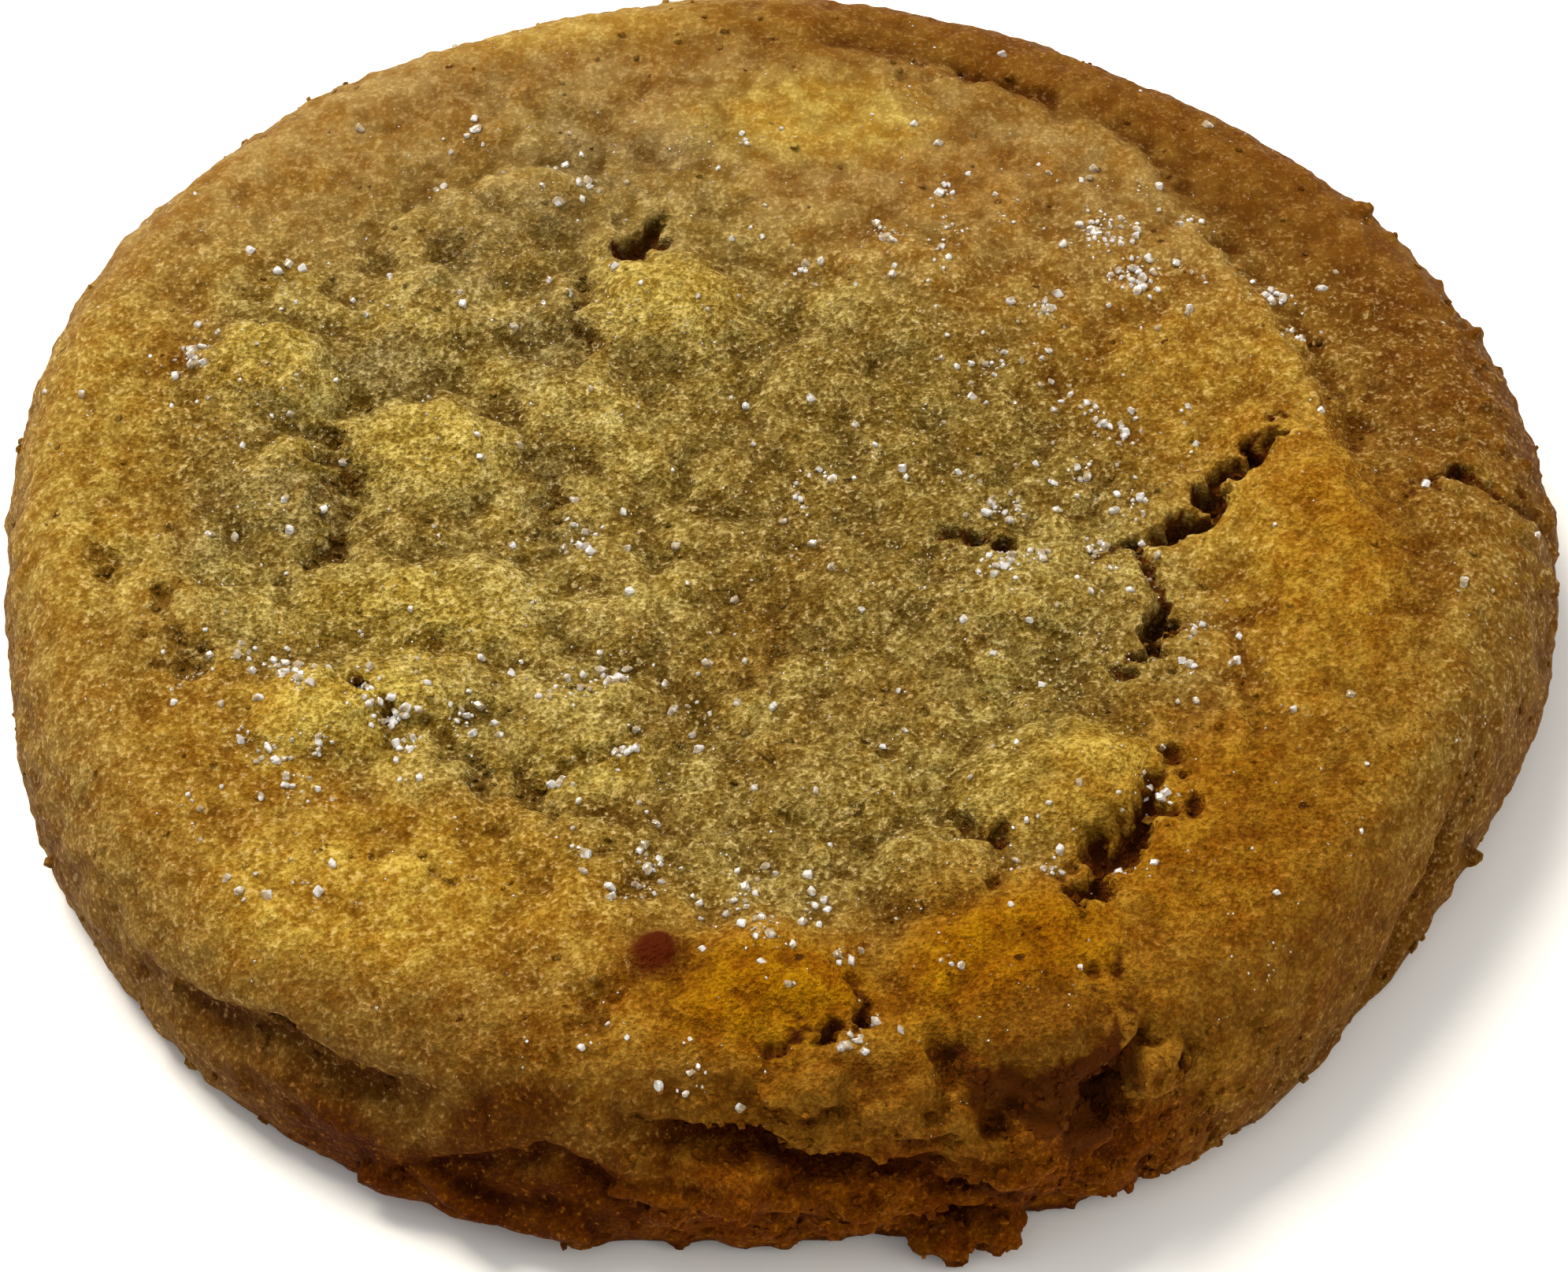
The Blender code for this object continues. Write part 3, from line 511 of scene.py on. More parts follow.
def add_lump(shape, index, place, turn, size, rough, subdivisions):
    """Adds one rough lump of crumb."""
    made = bmesh.ops.create_icosphere(shape, subdivisions=subdivisions, radius=1.0)["verts"]
    facing = Matrix.Rotation(turn, 3, "Z")
    for vert in made:
        bulge = 1 + rough * noise.noise(vert.co * 1.7 + Vector((index * 9.1, 0, 0)))
        local = Vector((vert.co.x * size[0], vert.co.y * size[1], vert.co.z * size[2])) * bulge
        vert.co = facing @ local + place


def add_crags(shape):
    """The large pieces of crumb that the broken front edge left standing out."""
    for index, (angle, height, out, length, rise, depth) in enumerate(CRAGS):
        widest = section_at(np.array([float(angle)]))[2][0]
        turn = math.radians(angle)
        place = Vector((math.cos(turn), math.sin(turn), 0)) * (widest + out) + Vector((0, 0, height))
        rough = SMOOTH_CRAG if length > WHOLE_LENGTH else BROKEN_CRAG
        add_lump(shape, index, place, turn, (depth, length, rise), rough, 4)


def add_crumbs(shape):
    """Small crumbs over the broken part of the wall, along its ragged foot and on the right wall."""
    draw = np.random.default_rng(11)
    for index in range(FRONT_CRUMBS + RIGHT_CRUMBS):
        in_front, above_foot = index < FRONT_CRUMBS, index % 3 > 0
        if in_front:
            angle = min(draw.normal(279, 11), 298) if above_foot else draw.uniform(252, 294)
            down = draw.uniform(0.30, 0.97) if above_foot else draw.uniform(0.88, 0.99)
        else:
            angle, down = draw.uniform(-8, 38), draw.uniform(0.0, 0.6)
        place = wall_points(np.array([angle % 360]), np.array([down]))[0]
        size = draw.uniform(*CRUMB_SIZE, 3) * (1.0 if above_foot and in_front else 0.7)
        turn = math.radians(angle)
        sunk = Vector((math.cos(turn), math.sin(turn), 0)) * (-CRUMB_SINK if in_front else 0)
        add_lump(shape, index + 50, Vector(place) + sunk, turn, size, 0.8, 2)


def to_object(name, shape):
    """Makes an object of a finished shape."""
    mesh = bpy.data.meshes.new(name)
    shape.to_mesh(mesh)
    shape.free()
    obj = bpy.data.objects.new(name, mesh)
    bpy.context.scene.collection.objects.link(obj)
    return obj


def apply_modifiers(obj):
    """Turns what the modifiers make into the object's own mesh."""
    bpy.context.view_layer.update()
    mesh = bpy.data.meshes.new_from_object(obj.evaluated_get(bpy.context.evaluated_depsgraph_get()))
    obj.modifiers.clear()
    obj.data = mesh


def inside_outline(x, y, outline):
    """Distance inside an outline, negative outside it."""
    closed = tuple(outline) + (outline[0],)
    away, _ = nearest_on_path(x, y, closed)
    within = np.zeros(len(x), bool)
    for (ax, ay), (bx, by) in zip(closed, closed[1:]):
        if ay != by:
            crossing = (ay > y) != (by > y)
            within ^= crossing & (x < (bx - ax) * (y - ay) / (by - ay) + ax)
    return np.where(within, away, -away)


def patch_share(x, y, patches):
    """How strongly a tint's patches cover each point."""
    most = np.zeros(len(x))
    for centre_x, centre_y, length, width, strength in patches:
        away = np.hypot((x - centre_x) / length, (y - centre_y) / width)
        most = np.maximum(most, strength * (1 - smoothstep(0.4, 1.3, away)))
    return most


def neighbour_means(values, edges, count, rounds):
    """Evens out values over the mesh by averaging with the neighbours."""
    links = np.bincount(edges.ravel(), minlength=count)
    for _ in range(rounds):
        total = np.zeros_like(values)
        for axis in range(values.shape[1]):
            total[:, axis] = np.bincount(edges[:, 0], values[edges[:, 1], axis], count)
            total[:, axis] += np.bincount(edges[:, 1], values[edges[:, 0], axis], count)
        values = 0.5 * values + 0.5 * total / links[:, None]
    return values


def mesh_arrays(mesh):
    """Positions, normals and the two points of each edge."""
    count = len(mesh.vertices)
    points, normals = np.empty(count * 3), np.empty(count * 3)
    mesh.vertices.foreach_get("co", points)
    mesh.vertex_normals.foreach_get("vector", normals)
    edges = np.empty(len(mesh.edges) * 2, int)
    mesh.edges.foreach_get("vertices", edges)
    return points.reshape(-1, 3), normals.reshape(-1, 3), edges.reshape(-1, 2)


def store(mesh, name, values):
    """Keeps one number for each point of a mesh, for its material or for what is scattered on it."""
    attribute = mesh.attributes.new(name, "FLOAT", "POINT")
    attribute.data.foreach_set("value", np.ascontiguousarray(values, np.float32))


def roughen(mesh):
    """Pushes the skin in and out by its finest relief, which fades out at the flat base."""
    points, normals, _ = mesh_arrays(mesh)
    angle = np.degrees(np.arctan2(points[:, 1], points[:, 0])) % 360
    pale = smoothstep(-2, 3, inside_outline(points[:, 0], points[:, 1], PALE_OUTLINE))
    push = KNOBBLES[1] * (pillow(points, KNOBBLES[0]) - 0.6) * (0.35 + 0.65 * pale)
    push += GRIT[1] * ripple(points, GRIT[0]) + FINE_GRIT[1] * ripple(points, FINE_GRIT[0])
    rise = smoothstep(0.1, 0.9, points[:, 2]) * (normals[:, 2] > -0.9)
    points += normals * (push * rise)[:, None]
    points[:, 2] = np.where((points[:, 2] < 0.16) & (normals[:, 2] < -0.5), 0, np.maximum(points[:, 2], 0))
    mesh.vertices.foreach_set("co", points.ravel())
    mesh.update()


def tint_skin(mesh):
    """Keeps, for each point, each tint and painted shade and highlight, and how thick crumbs and sugar lie there."""
    points, normals, edges = mesh_arrays(mesh)
    x, y, z = points.T
    angle, radius = np.degrees(np.arctan2(y, x)) % 360, np.hypot(x, y)
    uneven = 3.5 * ripple(points, 5.0) + 1.6 * ripple(points, 1.8)
    on_top = smoothstep(7.0, 10.0, z)
    facing_up = normals[:, 2]

    # The oven browned the rim and the terrace most, and left the middle pale.
    pale = smoothstep(-4.0, 5.0, inside_outline(x, y, PALE_OUTLINE) + uneven) * on_top
    outer = smoothstep(-1.5, 5.0, radius - section_at(angle)[0] + uneven * 0.5)
    side = turned(angle, 20)
    terrace = smoothstep(-95, -60, side) * (1 - smoothstep(60, 90, side))
    terrace = terrace * smoothstep(28.0, 32.5, radius + uneven * 0.4)
    back = smoothstep(-12, 14, turned(angle, 0))
    front = smoothstep(240, 256, angle) * (1 - smoothstep(292, 302, angle))
    # The lower wall darkens: its own deeper brown, and painted shade, strongest on the front, which faces away from
    # the key light.
    low = 1 - smoothstep(3.5 + 2.2 * front, 9.5 + 1.2 * front, z + uneven * 0.5)
    low *= 0.42 + 0.58 * smoothstep(220, 240, angle) * (1 - smoothstep(294, 306, angle))
    amber = patch_share(x + uneven * 0.4, y, AMBER_PATCHES)
    amber = np.maximum(amber, 0.6 * front * (1 - smoothstep(8.5, 11.0, z + uneven * 0.3)))
    spot_x, spot_y, spot_length, spot_width = TOASTED_SPOT
    spot = np.hypot((x - spot_x) / spot_length, (y - spot_y) / spot_width) + 0.1 * uneven

    # Creases and crowns: how far a point lies below or above its near and its wider neighbourhood.
    # The material paints shade into the creases by this, which leaves the crowns lighter.
    even = neighbour_means(points, edges, len(points), 26)
    wide = neighbour_means(even, edges, len(points), 60)
    fine, broad = ((even - points) * normals).sum(1), ((wide - even) * normals).sum(1)
    depth = crack_depth(x, y)
    folded = fold_depth(angle, z, radius) * smoothstep(28, 33, radius)
    # The insides of deep cracks and of the wall's folds are painted dark, as shade.
    deep_crack_shade = smoothstep(0.5, 1.2, depth) * on_top
    near_crack = smoothstep(0.15, 0.9, depth) * on_top

    # Sugar in its clusters with a few stray grains, crumbs where the dough broke.
    sugar = 0.012 * (0.3 + pale)
    for centre_x, centre_y, spread in SUGAR_CLUSTERS:
        away = np.hypot(x - centre_x, y - centre_y) / spread
        sugar = np.maximum(sugar, 0.06 * (away < 4) + 0.94 * (1 - smoothstep(0.3, 1.5, away)))
    dust = (0.25 + 0.75 * pale) * (0.5 + 1.2 * ripple(points, 6.0)) + (sugar > 0.1)
    crumbled = crumbled_share(angle)
    broken = np.maximum(crumbled * (1 - smoothstep(8.5, 10.5, z + uneven * 0.4)), 0.35 * near_crack)
    foot = 1 - smoothstep(1.0, 3.0, z)
    above_base = smoothstep(0.5, 0.9, z)

    shares = {
        "pale": pale,
        "smooth": np.clip(0.75 * smoothstep(6, 24, y) + 0.35 * outer, 0, 0.8),
        "damp": patch_share(x, y, DAMP_PATCHES) * on_top,
        "brown": np.clip(0.3 * outer + (0.35 + 0.45 * back) * terrace, 0, 1),
        # wall: the wall's deeper brown, with painted shade low on the front and under its lip
        "wall": np.maximum(low, patch_share(x, y, WALL_BROWN_AND_SHADE_PATCHES)),
        "amber": amber * smoothstep(2.0, 6.0, z),
        "honey": patch_share(x, y + uneven * 0.4, HONEY_PATCHES) * on_top,
        # painted hollow shade: greyer and darker in hollows and along creases
        "painted_hollow_shade": patch_share(x + uneven * 0.3, y - uneven * 0.3, PAINTED_HOLLOW_SHADE_PATCHES) * on_top,
        # painted highlight: paler yellow on lit crowns and rims
        "painted_highlight": patch_share(x, y, PAINTED_HIGHLIGHT_PATCHES) * on_top,
        # crease: where the material paints shade into creases
        "crease": np.clip(fine / 0.2, -1, 1) * 0.5 + np.clip(broad / 0.4, -1, 1) * 0.5,
        # crack: painted shade inside deep cracks and under the folds of the wall
        "crack": np.maximum(deep_crack_shade, 0.9 * smoothstep(0.8, 1.5, folded)),
        "toasted": (1 - smoothstep(0.55, 1.25, spot)) * on_top,
        "broken": np.clip(0.9 * broken + 0.10 * foot + 0.4 * folded, 0, 1) * above_base,
        "crumb": np.clip(0.03 + 0.7 * near_crack + 0.2 * crumbled * (z < 10), 0, 1) * above_base,
        "sugar": sugar * smoothstep(0.3, 0.7, facing_up) * on_top,
        "dust": np.clip(dust, 0, 1) * smoothstep(0.2, 0.6, facing_up) * on_top,
    }
    for name, values in shares.items():
        store(mesh, name, values)


def flatten_base(mesh):
    """Makes the underside one flat face, since no relief needs its small faces."""
    shape = bmesh.new()
    shape.from_mesh(mesh)
    base = [face for face in shape.faces if all(vert.co.z < 1e-6 for vert in face.verts)]
    bmesh.ops.dissolve_faces(shape, faces=base)
    bmesh.ops.triangulate(shape, faces=[face for face in shape.faces if len(face.verts) > 4])
    shape.to_mesh(mesh)
    shape.free()


def thin_out(skin):
    """Fewer faces where the skin is smooth, so that the cracks and crumbs can keep theirs."""
    triangles = sum(len(face.vertices) - 2 for face in skin.data.polygons)
    thinner = skin.modifiers.new("thinner", "DECIMATE")
    thinner.ratio = min(1.0, SKIN_TRIANGLES / triangles)
    apply_modifiers(skin)
    for vert in skin.data.vertices:
        vert.co.z = max(vert.co.z, 0)


def build_skin():
    """The whole cookie as one skin: body, crags and crumbs melted together, then roughened and tinted."""
    shape = body_pattern(PATTERN_CELLS, PATTERN_ROWS)
    bend_body(shape)
    add_crags(shape)
    add_crumbs(shape)
    for vert in shape.verts:
        if vert.co.z != 0:
            vert.co.z = max(vert.co.z, LOWEST_RELIEF)
    skin = to_object("cookie_crust", shape)
    melt = skin.modifiers.new("melt", "REMESH")
    melt.mode = "VOXEL"
    melt.voxel_size = SKIN_CELL
    apply_modifiers(skin)
    roughen(skin.data)
    flatten_base(skin.data)
    thin_out(skin)
    tint_skin(skin.data)
    return skin


def to_place(piece):
    """From millimetres round the dough's own middle to metres round the origin."""
    piece.data.transform(Matrix.Scale(MM, 4) @ Matrix.Translation((-MIDDLE[0], -MIDDLE[1], 0)))
    piece.data.update()


def linear(code):
    """An sRGB hex colour as linear red, green, blue and alpha."""
    values = [int(code[at : at + 2], 16) / 255 for at in (1, 3, 5)]
    return [v / 12.92 if v <= 0.04045 else ((v + 0.055) / 1.055) ** 2.4 for v in values] + [1.0]


def set_inputs(tree, node, inputs):
    """Sets each input to a value, or links it to an output or to another node's first output."""
    for name, value in inputs.items():
        if isinstance(value, bpy.types.Node):
            value = value.outputs[0]
        if isinstance(value, bpy.types.NodeSocket):
            tree.links.new(value, node.inputs[name])
        else:
            node.inputs[name].default_value = value


def add_node(tree, kind, inputs=None, **settings):
    """Adds a node with its settings, and with its inputs set or linked."""
    made = tree.nodes.new(kind)
    for name, value in settings.items():
        setattr(made, name, value)
    set_inputs(tree, made, inputs or {})
    return made


def new_material(name):
    """A material with its node tree, its shader and the piece's own coordinates."""
    material = bpy.data.materials.new(name)
    material.use_nodes = True
    tree = material.node_tree
    place = add_node(tree, "ShaderNodeTexCoord").outputs["Object"]
    return material, tree, tree.nodes["Principled BSDF"], place


def baked_dough():
    """Baked sugar dough: a dry matt crumb, browned by the oven from the rim inwards.

    The eye sees grains of a quarter to half a millimetre, each a little paler or darker, darker gaps between them
    that are partly painted shade, and sugary grains that are glossier and have a painted glint. The skin's
    attributes say where it is pale, amber or brown, and where shade and highlights are painted.
    """
    material, tree, shader, place = new_material("baked_sugar_dough")
    kept = {name: add_node(tree, "ShaderNodeAttribute", attribute_name=name).outputs["Fac"] for name in TINTS}

    # Blotches and mottling of the bake, flakes and specks of the crumb: size in millimetres, detail, roughness.
    blotches, mottling, flakes, specks = (
        add_node(
            tree,
            "ShaderNodeTexNoise",
            {"Vector": place, "Scale": 1000 / millimetres, "Detail": detail, "Roughness": roughness},
        )
        for millimetres, detail, roughness in (
            (5.0, 3.0, 0.6),
            (1.7, 4.0, 0.7),
            (0.34, 3.0, 0.65),
            (0.19, 1.0, 0.5),
        )
    )
    # Grains and small holes, as cells with ragged edges: what frays them, by how many metres, size in millimetres.
    grains, holes = (
        add_node(
            tree,
            "ShaderNodeTexVoronoi",
            {
                "Vector": add_node(
                    tree, "ShaderNodeVectorMath", {0: strayed, 1: stray, 2: place}, operation="MULTIPLY_ADD"
                ),
                "Scale": 1000 / millimetres,
            },
        )
        for strayed, stray, millimetres in (
            (specks, (0.0002, 0.00016, 0.0002), 0.24),
            (flakes, (0.0012, 0.0009, 0.0012), 2.4),
        )
    )

    # How strongly each thing shows: its name, the sum that gives it, and what goes into that sum.
    known = {
        **kept,
        "blotches": blotches,
        "mottling": mottling,
        "flakes": flakes,
        "specks": specks,
        "own_tone": grains.outputs["Color"],
        "hole_middle": holes.outputs["Distance"],
        "hole_chance": holes.outputs["Color"],
    }
    for name, operation, *given in (
        ("grain", "MULTIPLY_ADD", "specks", 0.7, "flakes"),
        ("speckled", "MULTIPLY_ADD", "own_tone", 0.36, "grain"),
        ("browned", "MAXIMUM", "amber", "wall"),
        ("unbrowned", "SUBTRACT", 0.8, "brown"),
        # painted sheen: a paler, greyer tone on the smooth back and rim, seen at a glancing angle
        ("painted_sheen", "MULTIPLY", "smooth", "unbrowned"),
        ("blotch", "SMOOTHSTEP", "blotches", 0.35, 0.65),
        ("stain", "SMOOTHSTEP", "mottling", 0.64, 0.36),
        # shade: how much painted shade a crease gets
        ("shade", "SMOOTHSTEP", "crease", -0.5, 0.9),
        # gap: darkens grains by their random tone, and paints shade into the low gaps between them
        ("full", "SMOOTHSTEP", "speckled", 0.78, 1.22),
        ("evened", "MULTIPLY", "smooth", 0.65),
        ("filled", "MAXIMUM", "full", "evened"),
        ("gap", "SUBTRACT", 1.0, "filled"),
        # glint: sugary grains, glossier, whose glint is also painted in as a paler colour
        ("bright", "MULTIPLY_ADD", "browned", -0.06, "speckled"),
        ("sparkle", "SMOOTHSTEP", "bright", 1.12, 1.34),
        ("plain", "MULTIPLY_ADD", "pale", -0.35, 0.35),
        ("dimmed", "MAXIMUM", "smooth", "plain"),
        ("undimmed", "SUBTRACT", 1.0, "dimmed"),
        ("glint", "MULTIPLY", "sparkle", "undimmed"),
        # shaded pore: small pores, sunk in the relief and painted dark inside as shade
        ("opening", "SMOOTHSTEP", "hole_middle", 0.12, 0.05),
        ("chosen", "SMOOTHSTEP", "hole_chance", 0.72, 0.76),
        ("shaded_pore", "MULTIPLY", "opening", "chosen"),
        ("relief", "MULTIPLY_ADD", "shaded_pore", -1.5, "grain"),
        ("firm", "MULTIPLY_ADD", "smooth", -0.35, 0.55),
        ("crumbly", "MAXIMUM", "pale", "amber"),
        ("bumpy", "MULTIPLY_ADD", "crumbly", 0.25, "firm"),
    ):
        given = {at: known.get(value, value) for at, value in enumerate(given)}
        if operation == "SMOOTHSTEP":
            known[name] = add_node(tree, "ShaderNodeMapRange", given, interpolation_type=operation)
        else:
            known[name] = add_node(tree, "ShaderNodeMath", given, operation=operation)

    # Tints from one colour to another, painted shade and glint among them: by what, and the colours at 0 and at 1.
    golden, crumb, wall_brown_and_shade, painted_crease_shade, stained, shadowed, painted_glint = (
        add_node(tree, "ShaderNodeMix", {0: known[by], 6: linear(low), 7: linear(high)}, data_type="RGBA").outputs[2]
        for by, low, high in (
            ("blotch", "#9d823c", "#927737"),
            ("blotch", "#b9a862", "#a49051"),
            ("broken", "#552a01", "#774202"),
            ("pale", "#9d7e3f", "#958767"),
            ("pale", "#dcc493", "#d6c8a0"),
            ("pale", "#c0b088", "#a89a70"),
            ("browned", "#f0dca0", "#d8922a"),
        )
    )
    # The crust's colour, and what is laid over it, painted shade and highlights among it:
    # where, the tint, how much it covers and how it is laid.
    colour = golden
    for where, tint, cover, blend in (
        ("pale", crumb, 1.0, "MIX"),
        ("honey", linear("#a37e28"), 1.0, "MIX"),
        ("damp", linear("#785f26"), 0.8, "MIX"),
        # painted shade in the hollows of the top
        ("painted_hollow_shade", linear("#7f7050"), 0.6, "MIX"),
        ("amber", linear("#9e6f05"), 1.0, "MIX"),
        # painted sheen on the smooth back and rim
        ("painted_sheen", linear("#9a8257"), 1.0, "MIX"),
        # painted highlight on lit crowns and rims
        ("painted_highlight", linear("#c9b351"), 1.0, "MIX"),
        ("brown", linear("#744f19"), 1.0, "MIX"),
        # the wall's deeper brown, with painted shade
        ("wall", wall_brown_and_shade, 1.0, "MIX"),
        # painted shade in the creases, greyer in the pale middle
        ("shade", painted_crease_shade, 1.0, "MULTIPLY"),
        ("stain", stained, 1.0, "MULTIPLY"),
        # the grains' random tone, with painted shade in the gaps between them
        ("gap", shadowed, 1.0, "MULTIPLY"),
        # painted glint on sugary grains: cream on the pale crumb, golden on the browned crust
        ("glint", painted_glint, 0.32, "MIX"),
        # painted shade inside cracks and folds
        ("crack", linear("#421d04"), 1.0, "MIX"),
        ("toasted", linear("#451503"), 1.0, "MIX"),
        # painted shade inside the pores
        ("shaded_pore", linear("#3c2006"), 1.0, "MIX"),
    ):
        if cover < 1 or blend != "MIX":
            laid = {0: cover, 6: colour, 7: tint}
            tint = add_node(tree, "ShaderNodeMix", laid, data_type="RGBA", blend_type=blend).outputs[2]
        colour = add_node(tree, "ShaderNodeMix", {0: known[where], 6: colour, 7: tint}, data_type="RGBA").outputs[2]

    # A dry porous crumb hardly reflects, except on its sugary grains, and lets light a little way in.
    relief = {"Height": known["relief"], "Distance": 0.40 * MM, "Strength": known["bumpy"]}
    dry_to_glassy = {0: known["glint"], 1: 0.0, 2: 1.0, 3: 0.68, 4: 0.3}
    finish = {
        "Base Color": colour,
        "Normal": add_node(tree, "ShaderNodeBump", relief),
        "Roughness": add_node(tree, "ShaderNodeMapRange", dry_to_glassy),
        "IOR": 1.35,
        "Specular IOR Level": 0.08,
        "Specular Tint": linear("#ffcf8a"),
        "Subsurface Weight": 0.1,
        "Subsurface Radius": (1.0, 0.5, 0.18),
        "Subsurface Scale": 0.6 * MM,
    }
    set_inputs(tree, shader, finish)
    return material


def granulated_sugar():
    """Granulated sugar: clear blocky crystals, IOR 1.56, whose facets glint and whose bodies look milky white
    or let the dough show through."""
    material, tree, shader, place = new_material("granulated_sugar")
    cloud = add_node(tree, "ShaderNodeTexNoise", {"Vector": place, "Scale": 1000 / 0.5, "Detail": 1.0})
    clear = add_node(tree, "ShaderNodeMapRange", {0: cloud, 1: 0.4, 2: 0.6}, interpolation_type="SMOOTHSTEP")
    tints = {0: clear, 6: linear("#ffffff"), 7: linear("#c4b08c")}
    finish = {
        "Base Color": add_node(tree, "ShaderNodeMix", tints, data_type="RGBA").outputs[2],
        "Roughness": 0.1,
        "IOR": 1.56,
        "Transmission Weight": 0.45,
    }
    set_inputs(tree, shader, finish)
    return material


def to_grain(name, shape, material):
    """Makes a shape the grain that is scattered, in its own material."""
    grain = to_object(name, shape)
    grain.data.materials.append(material)
    return grain


def crumb_grain(material):
    """One crumb: a lopsided rounded grain, 1 mm long."""
    shape = bmesh.new()
    add_lump(shape, 3, Vector((0, 0, 0)), 0.4, (0.5, 0.42, 0.38), 0.9, 1)
    return to_grain("crumb_grain", shape, material)


def sugar_crystal(material):
    """One sugar crystal: a block broken off unevenly, with its edges worn off, 1 mm long."""
    shape = bmesh.new()
    bmesh.ops.create_cube(shape, size=1.0)
    bmesh.ops.scale(shape, verts=shape.verts, vec=(1.0, 0.8, 0.66))
    for vert in shape.verts:
        places = [vert.co * 3.1 + Vector((shift, 0, 0)) for shift in (4, 9, 17)]
        vert.co += 0.36 * Vector([noise.noise(place) for place in places])
    bmesh.ops.bevel(shape, geom=list(shape.edges), offset=0.15, segments=1, affect="EDGES")
    return to_grain("sugar_crystal", shape, material)


def sugar_chip(material):
    """One chip off a crystal, 1 mm long."""
    shape = bmesh.new()
    bmesh.ops.create_icosphere(shape, subdivisions=1, radius=0.5)
    bmesh.ops.scale(shape, verts=shape.verts, vec=(1.0, 0.7, 0.6))
    bmesh.ops.dissolve_limit(shape, angle_limit=math.radians(38), verts=shape.verts, edges=shape.edges)
    return to_grain("sugar_chip", shape, material)


def scatter_tree():
    """Geometry Nodes that scatter turned copies of a grain over a surface, thickest where an attribute says."""
    tree = bpy.data.node_groups.new("scatter_grains", "GeometryNodeTree")
    tree.interface.new_socket("Geometry", in_out="OUTPUT", socket_type="NodeSocketGeometry")
    for kind, names in (
        ("Geometry", ["Surface"]),
        ("Object", ["Grain"]),
        ("Material", ["Material"]),
        ("String", ["Where"]),
        ("Float", ["Density", "Smallest", "Largest", "Gap"]),
        ("Int", ["Seed"]),
    ):
        for name in names:
            tree.interface.new_socket(name, in_out="INPUT", socket_type="NodeSocket" + kind)
    given = add_node(tree, "NodeGroupInput").outputs
    where = add_node(tree, "GeometryNodeInputNamedAttribute", {"Name": given["Where"]}, data_type="FLOAT")
    spread = add_node(
        tree,
        "GeometryNodeDistributePointsOnFaces",
        {
            "Mesh": given["Surface"],
            "Distance Min": given["Gap"],
            "Density Max": given["Density"],
            "Density Factor": where.outputs["Attribute"],
            "Seed": given["Seed"],
        },
        distribute_method="POISSON",
    )
    any_way = {1: (math.tau, math.tau, math.tau), "Seed": given["Seed"]}
    turn = add_node(tree, "FunctionNodeRandomValue", any_way, data_type="FLOAT_VECTOR")
    chance = add_node(tree, "FunctionNodeRandomValue", {"Seed": given["Seed"]}, data_type="FLOAT").outputs[1]
    # A power above 1 makes small grains more common than large ones.
    small_more_often = add_node(tree, "ShaderNodeMath", {0: chance, 1: 1.8}, operation="POWER")
    size = {0: small_more_often, 3: given["Smallest"], 4: given["Largest"]}
    grain = add_node(tree, "GeometryNodeObjectInfo", {"Object": given["Grain"]})
    copies = add_node(
        tree,
        "GeometryNodeInstanceOnPoints",
        {
            "Points": spread.outputs["Points"],
            "Instance": grain.outputs["Geometry"],
            "Rotation": turn,
            "Scale": add_node(tree, "ShaderNodeMapRange", size),
        },
    )
    real = add_node(tree, "GeometryNodeRealizeInstances", {"Geometry": copies})
    painted = add_node(tree, "GeometryNodeSetMaterial", {"Geometry": real, "Material": given["Material"]})
    add_node(tree, "NodeGroupOutput", {"Geometry": painted})
    return tree


def scatter(name, skin, tree, grain, **sizes):
    """Copies of one grain, scattered over the skin, as a piece of their own."""
    piece = bpy.data.objects.new(name, skin.data.copy())
    bpy.context.scene.collection.objects.link(piece)
    spread = piece.modifiers.new("spread", "NODES")
    spread.node_group = tree
    sizes = {"Grain": grain, "Material": grain.data.materials[0], **sizes}
    for socket in tree.interface.items_tree:
        if socket.in_out == "INPUT" and socket.name in sizes:
            spread[socket.identifier] = sizes[socket.name]
    apply_modifiers(piece)
    bpy.data.objects.remove(grain)
    return piece


def add_light(name, place, size, power, colour):
    """A square light, its place and size in metres and its power in watts, turned to the cookie."""
    light = bpy.data.lights.new(name, "AREA")
    light.size = size
    light.energy = power
    light.color = linear(colour)[:3]
    obj = bpy.data.objects.new(name, light)
    obj.location = place
    obj.rotation_euler = (-Vector(place)).to_track_quat("-Z", "Y").to_euler()
    bpy.context.scene.collection.objects.link(obj)


def light_scene():
    """A soft key from behind on the left, a weaker fill from the right, and a pale room."""
    add_light("key", (-0.30, 0.36, 0.66), 0.42, 9.7, "#fff6e8")
    add_light("fill", (0.75, -0.25, 0.40), 0.60, 2.4, "#fff4e4")
    world = bpy.data.worlds.new("room")
    bpy.context.scene.world = world
    world.use_nodes = True
    room = {"Color": linear("#f1f0ee"), "Strength": 0.74}
    set_inputs(world.node_tree, world.node_tree.nodes["Background"], room)
    bpy.context.scene.view_settings.view_transform = "Standard"


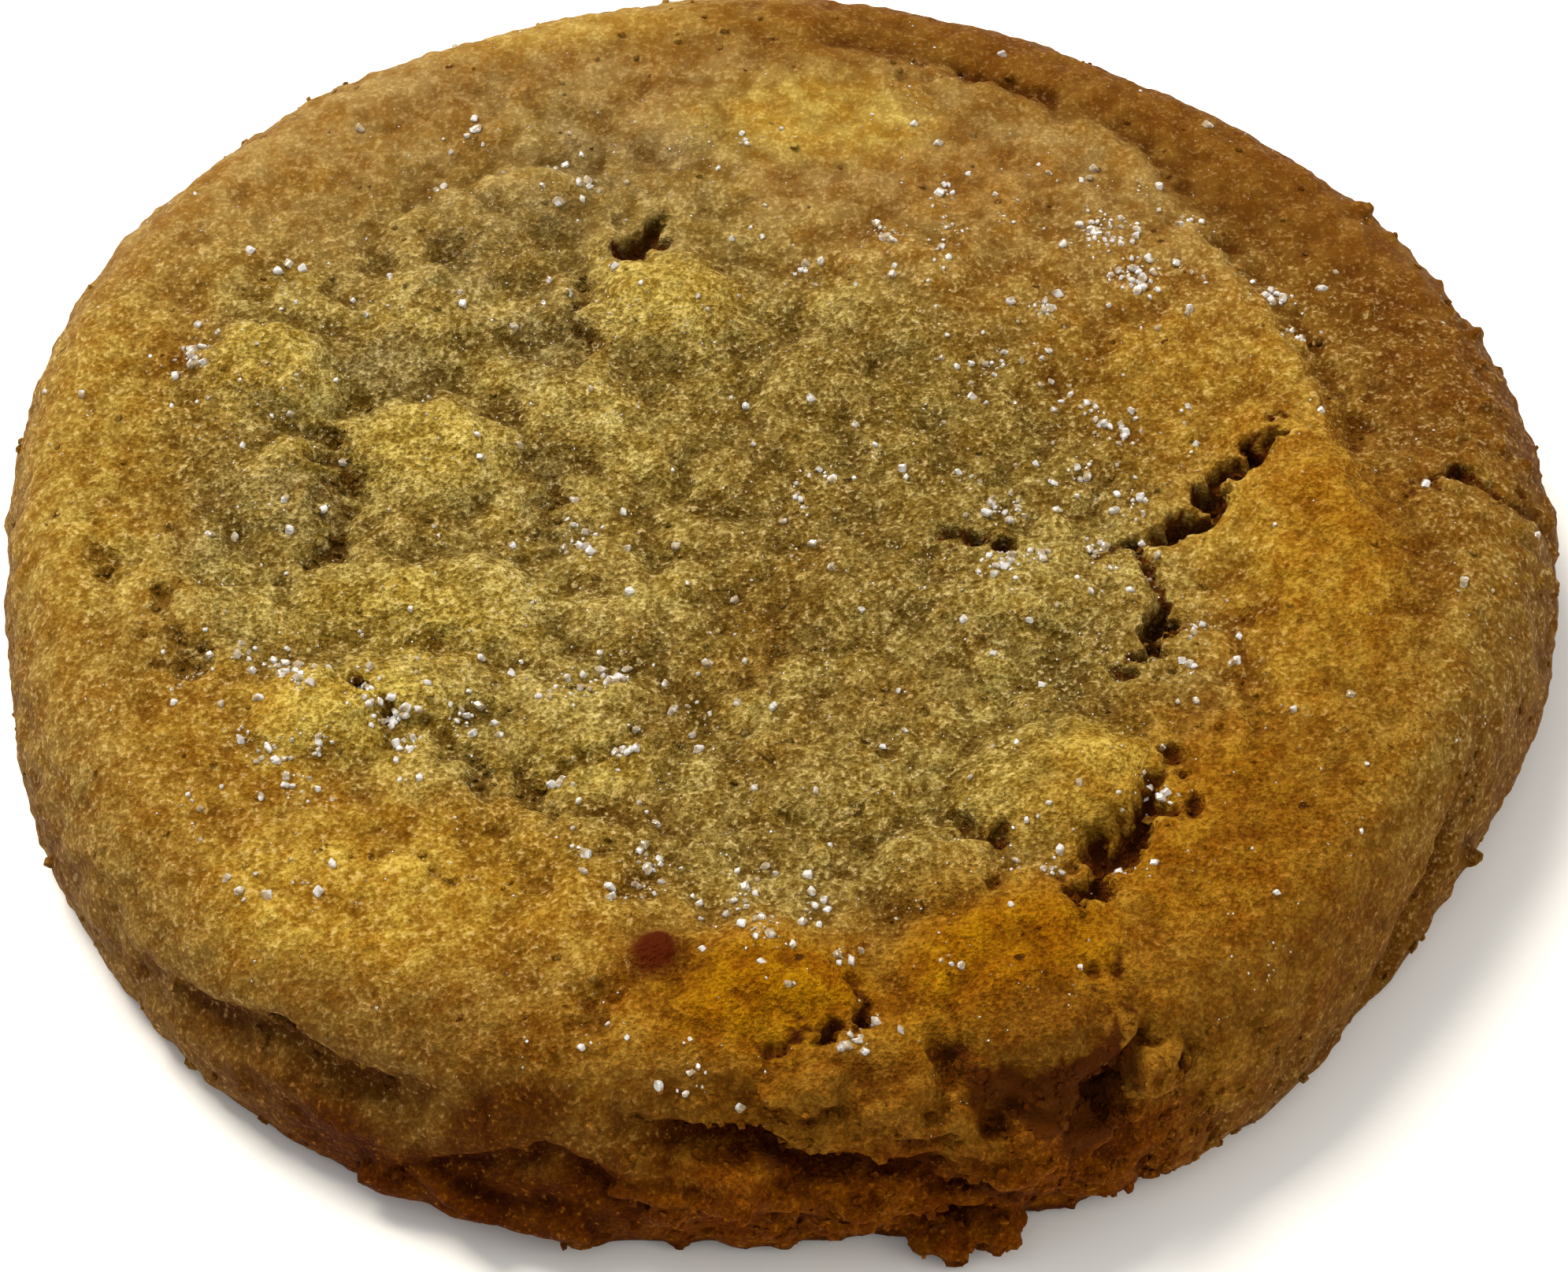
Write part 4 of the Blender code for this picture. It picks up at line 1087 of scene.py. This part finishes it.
def add_floor():
    """A pale matt table top, faintly uneven in tone over 17 mm."""
    shape = bmesh.new()
    bmesh.ops.create_grid(shape, x_segments=1, y_segments=1, size=1.5)
    floor = to_object("table_top", shape)
    floor.location.z = -FLOOR_GAP * MM
    material, tree, shader, place = new_material("pale_matt_board")
    cloud = add_node(tree, "ShaderNodeTexNoise", {"Vector": place, "Scale": 60.0, "Detail": 4.0})
    tints = {0: cloud, 6: linear("#f4f4f2"), 7: linear("#fafaf9")}
    tone = add_node(tree, "ShaderNodeMix", tints, data_type="RGBA").outputs[2]
    set_inputs(tree, shader, {"Base Color": tone, "Roughness": 0.75})
    floor.data.materials.append(material)


def add_camera():
    """Looks down at the front of the cookie's top, from as high and as far as in the photo."""
    rise = math.radians(CAMERA_RISE)
    target = (Vector(LOOKED_AT) - Vector((*MIDDLE, 0))) * MM
    data = bpy.data.cameras.new("camera")
    data.lens = CAMERA_LENS
    data.sensor_width = 36
    camera = bpy.data.objects.new("camera", data)
    camera.location = target + Vector((0, -math.cos(rise), math.sin(rise))) * CAMERA_AWAY * MM
    camera.rotation_euler = (math.radians(90) - rise, 0, 0)
    bpy.context.scene.collection.objects.link(camera)
    bpy.context.scene.camera = camera


add_camera()
light_scene()
add_floor()

skin = build_skin()
dough, sugar = baked_dough(), granulated_sugar()
scatter_nodes = scatter_tree()
pieces = [skin]
# Name, grain and its material, attribute that says where, grains in a square millimetre, least and greatest length,
# least gap between two of them, seed.
for name, grain, material, where, density, smallest, largest, gap, seed in (
    ("fine_crumb", crumb_grain, dough, "crumb", 4.0, 0.25, 0.6, 0.36, 8),
    ("broken_crumb", crumb_grain, dough, "broken", 1.2, 0.35, 1.0, 0.5, 3),
    ("sugar_grains", sugar_crystal, sugar, "sugar", 7.0, 0.14, 0.6, 0.22, 5),
    ("sugar_dust", sugar_chip, sugar, "dust", 1.6, 0.08, 0.2, 0.2, 12),
):
    sizes = {"Density": density, "Smallest": smallest, "Largest": largest, "Gap": gap}
    pieces.append(scatter(name, skin, scatter_nodes, grain(material), Where=where, Seed=seed, **sizes))
skin.data.materials.append(dough)
skin.data.shade_smooth()
for piece in pieces:
    to_place(piece)
    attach(piece, "root")
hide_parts("cookie")
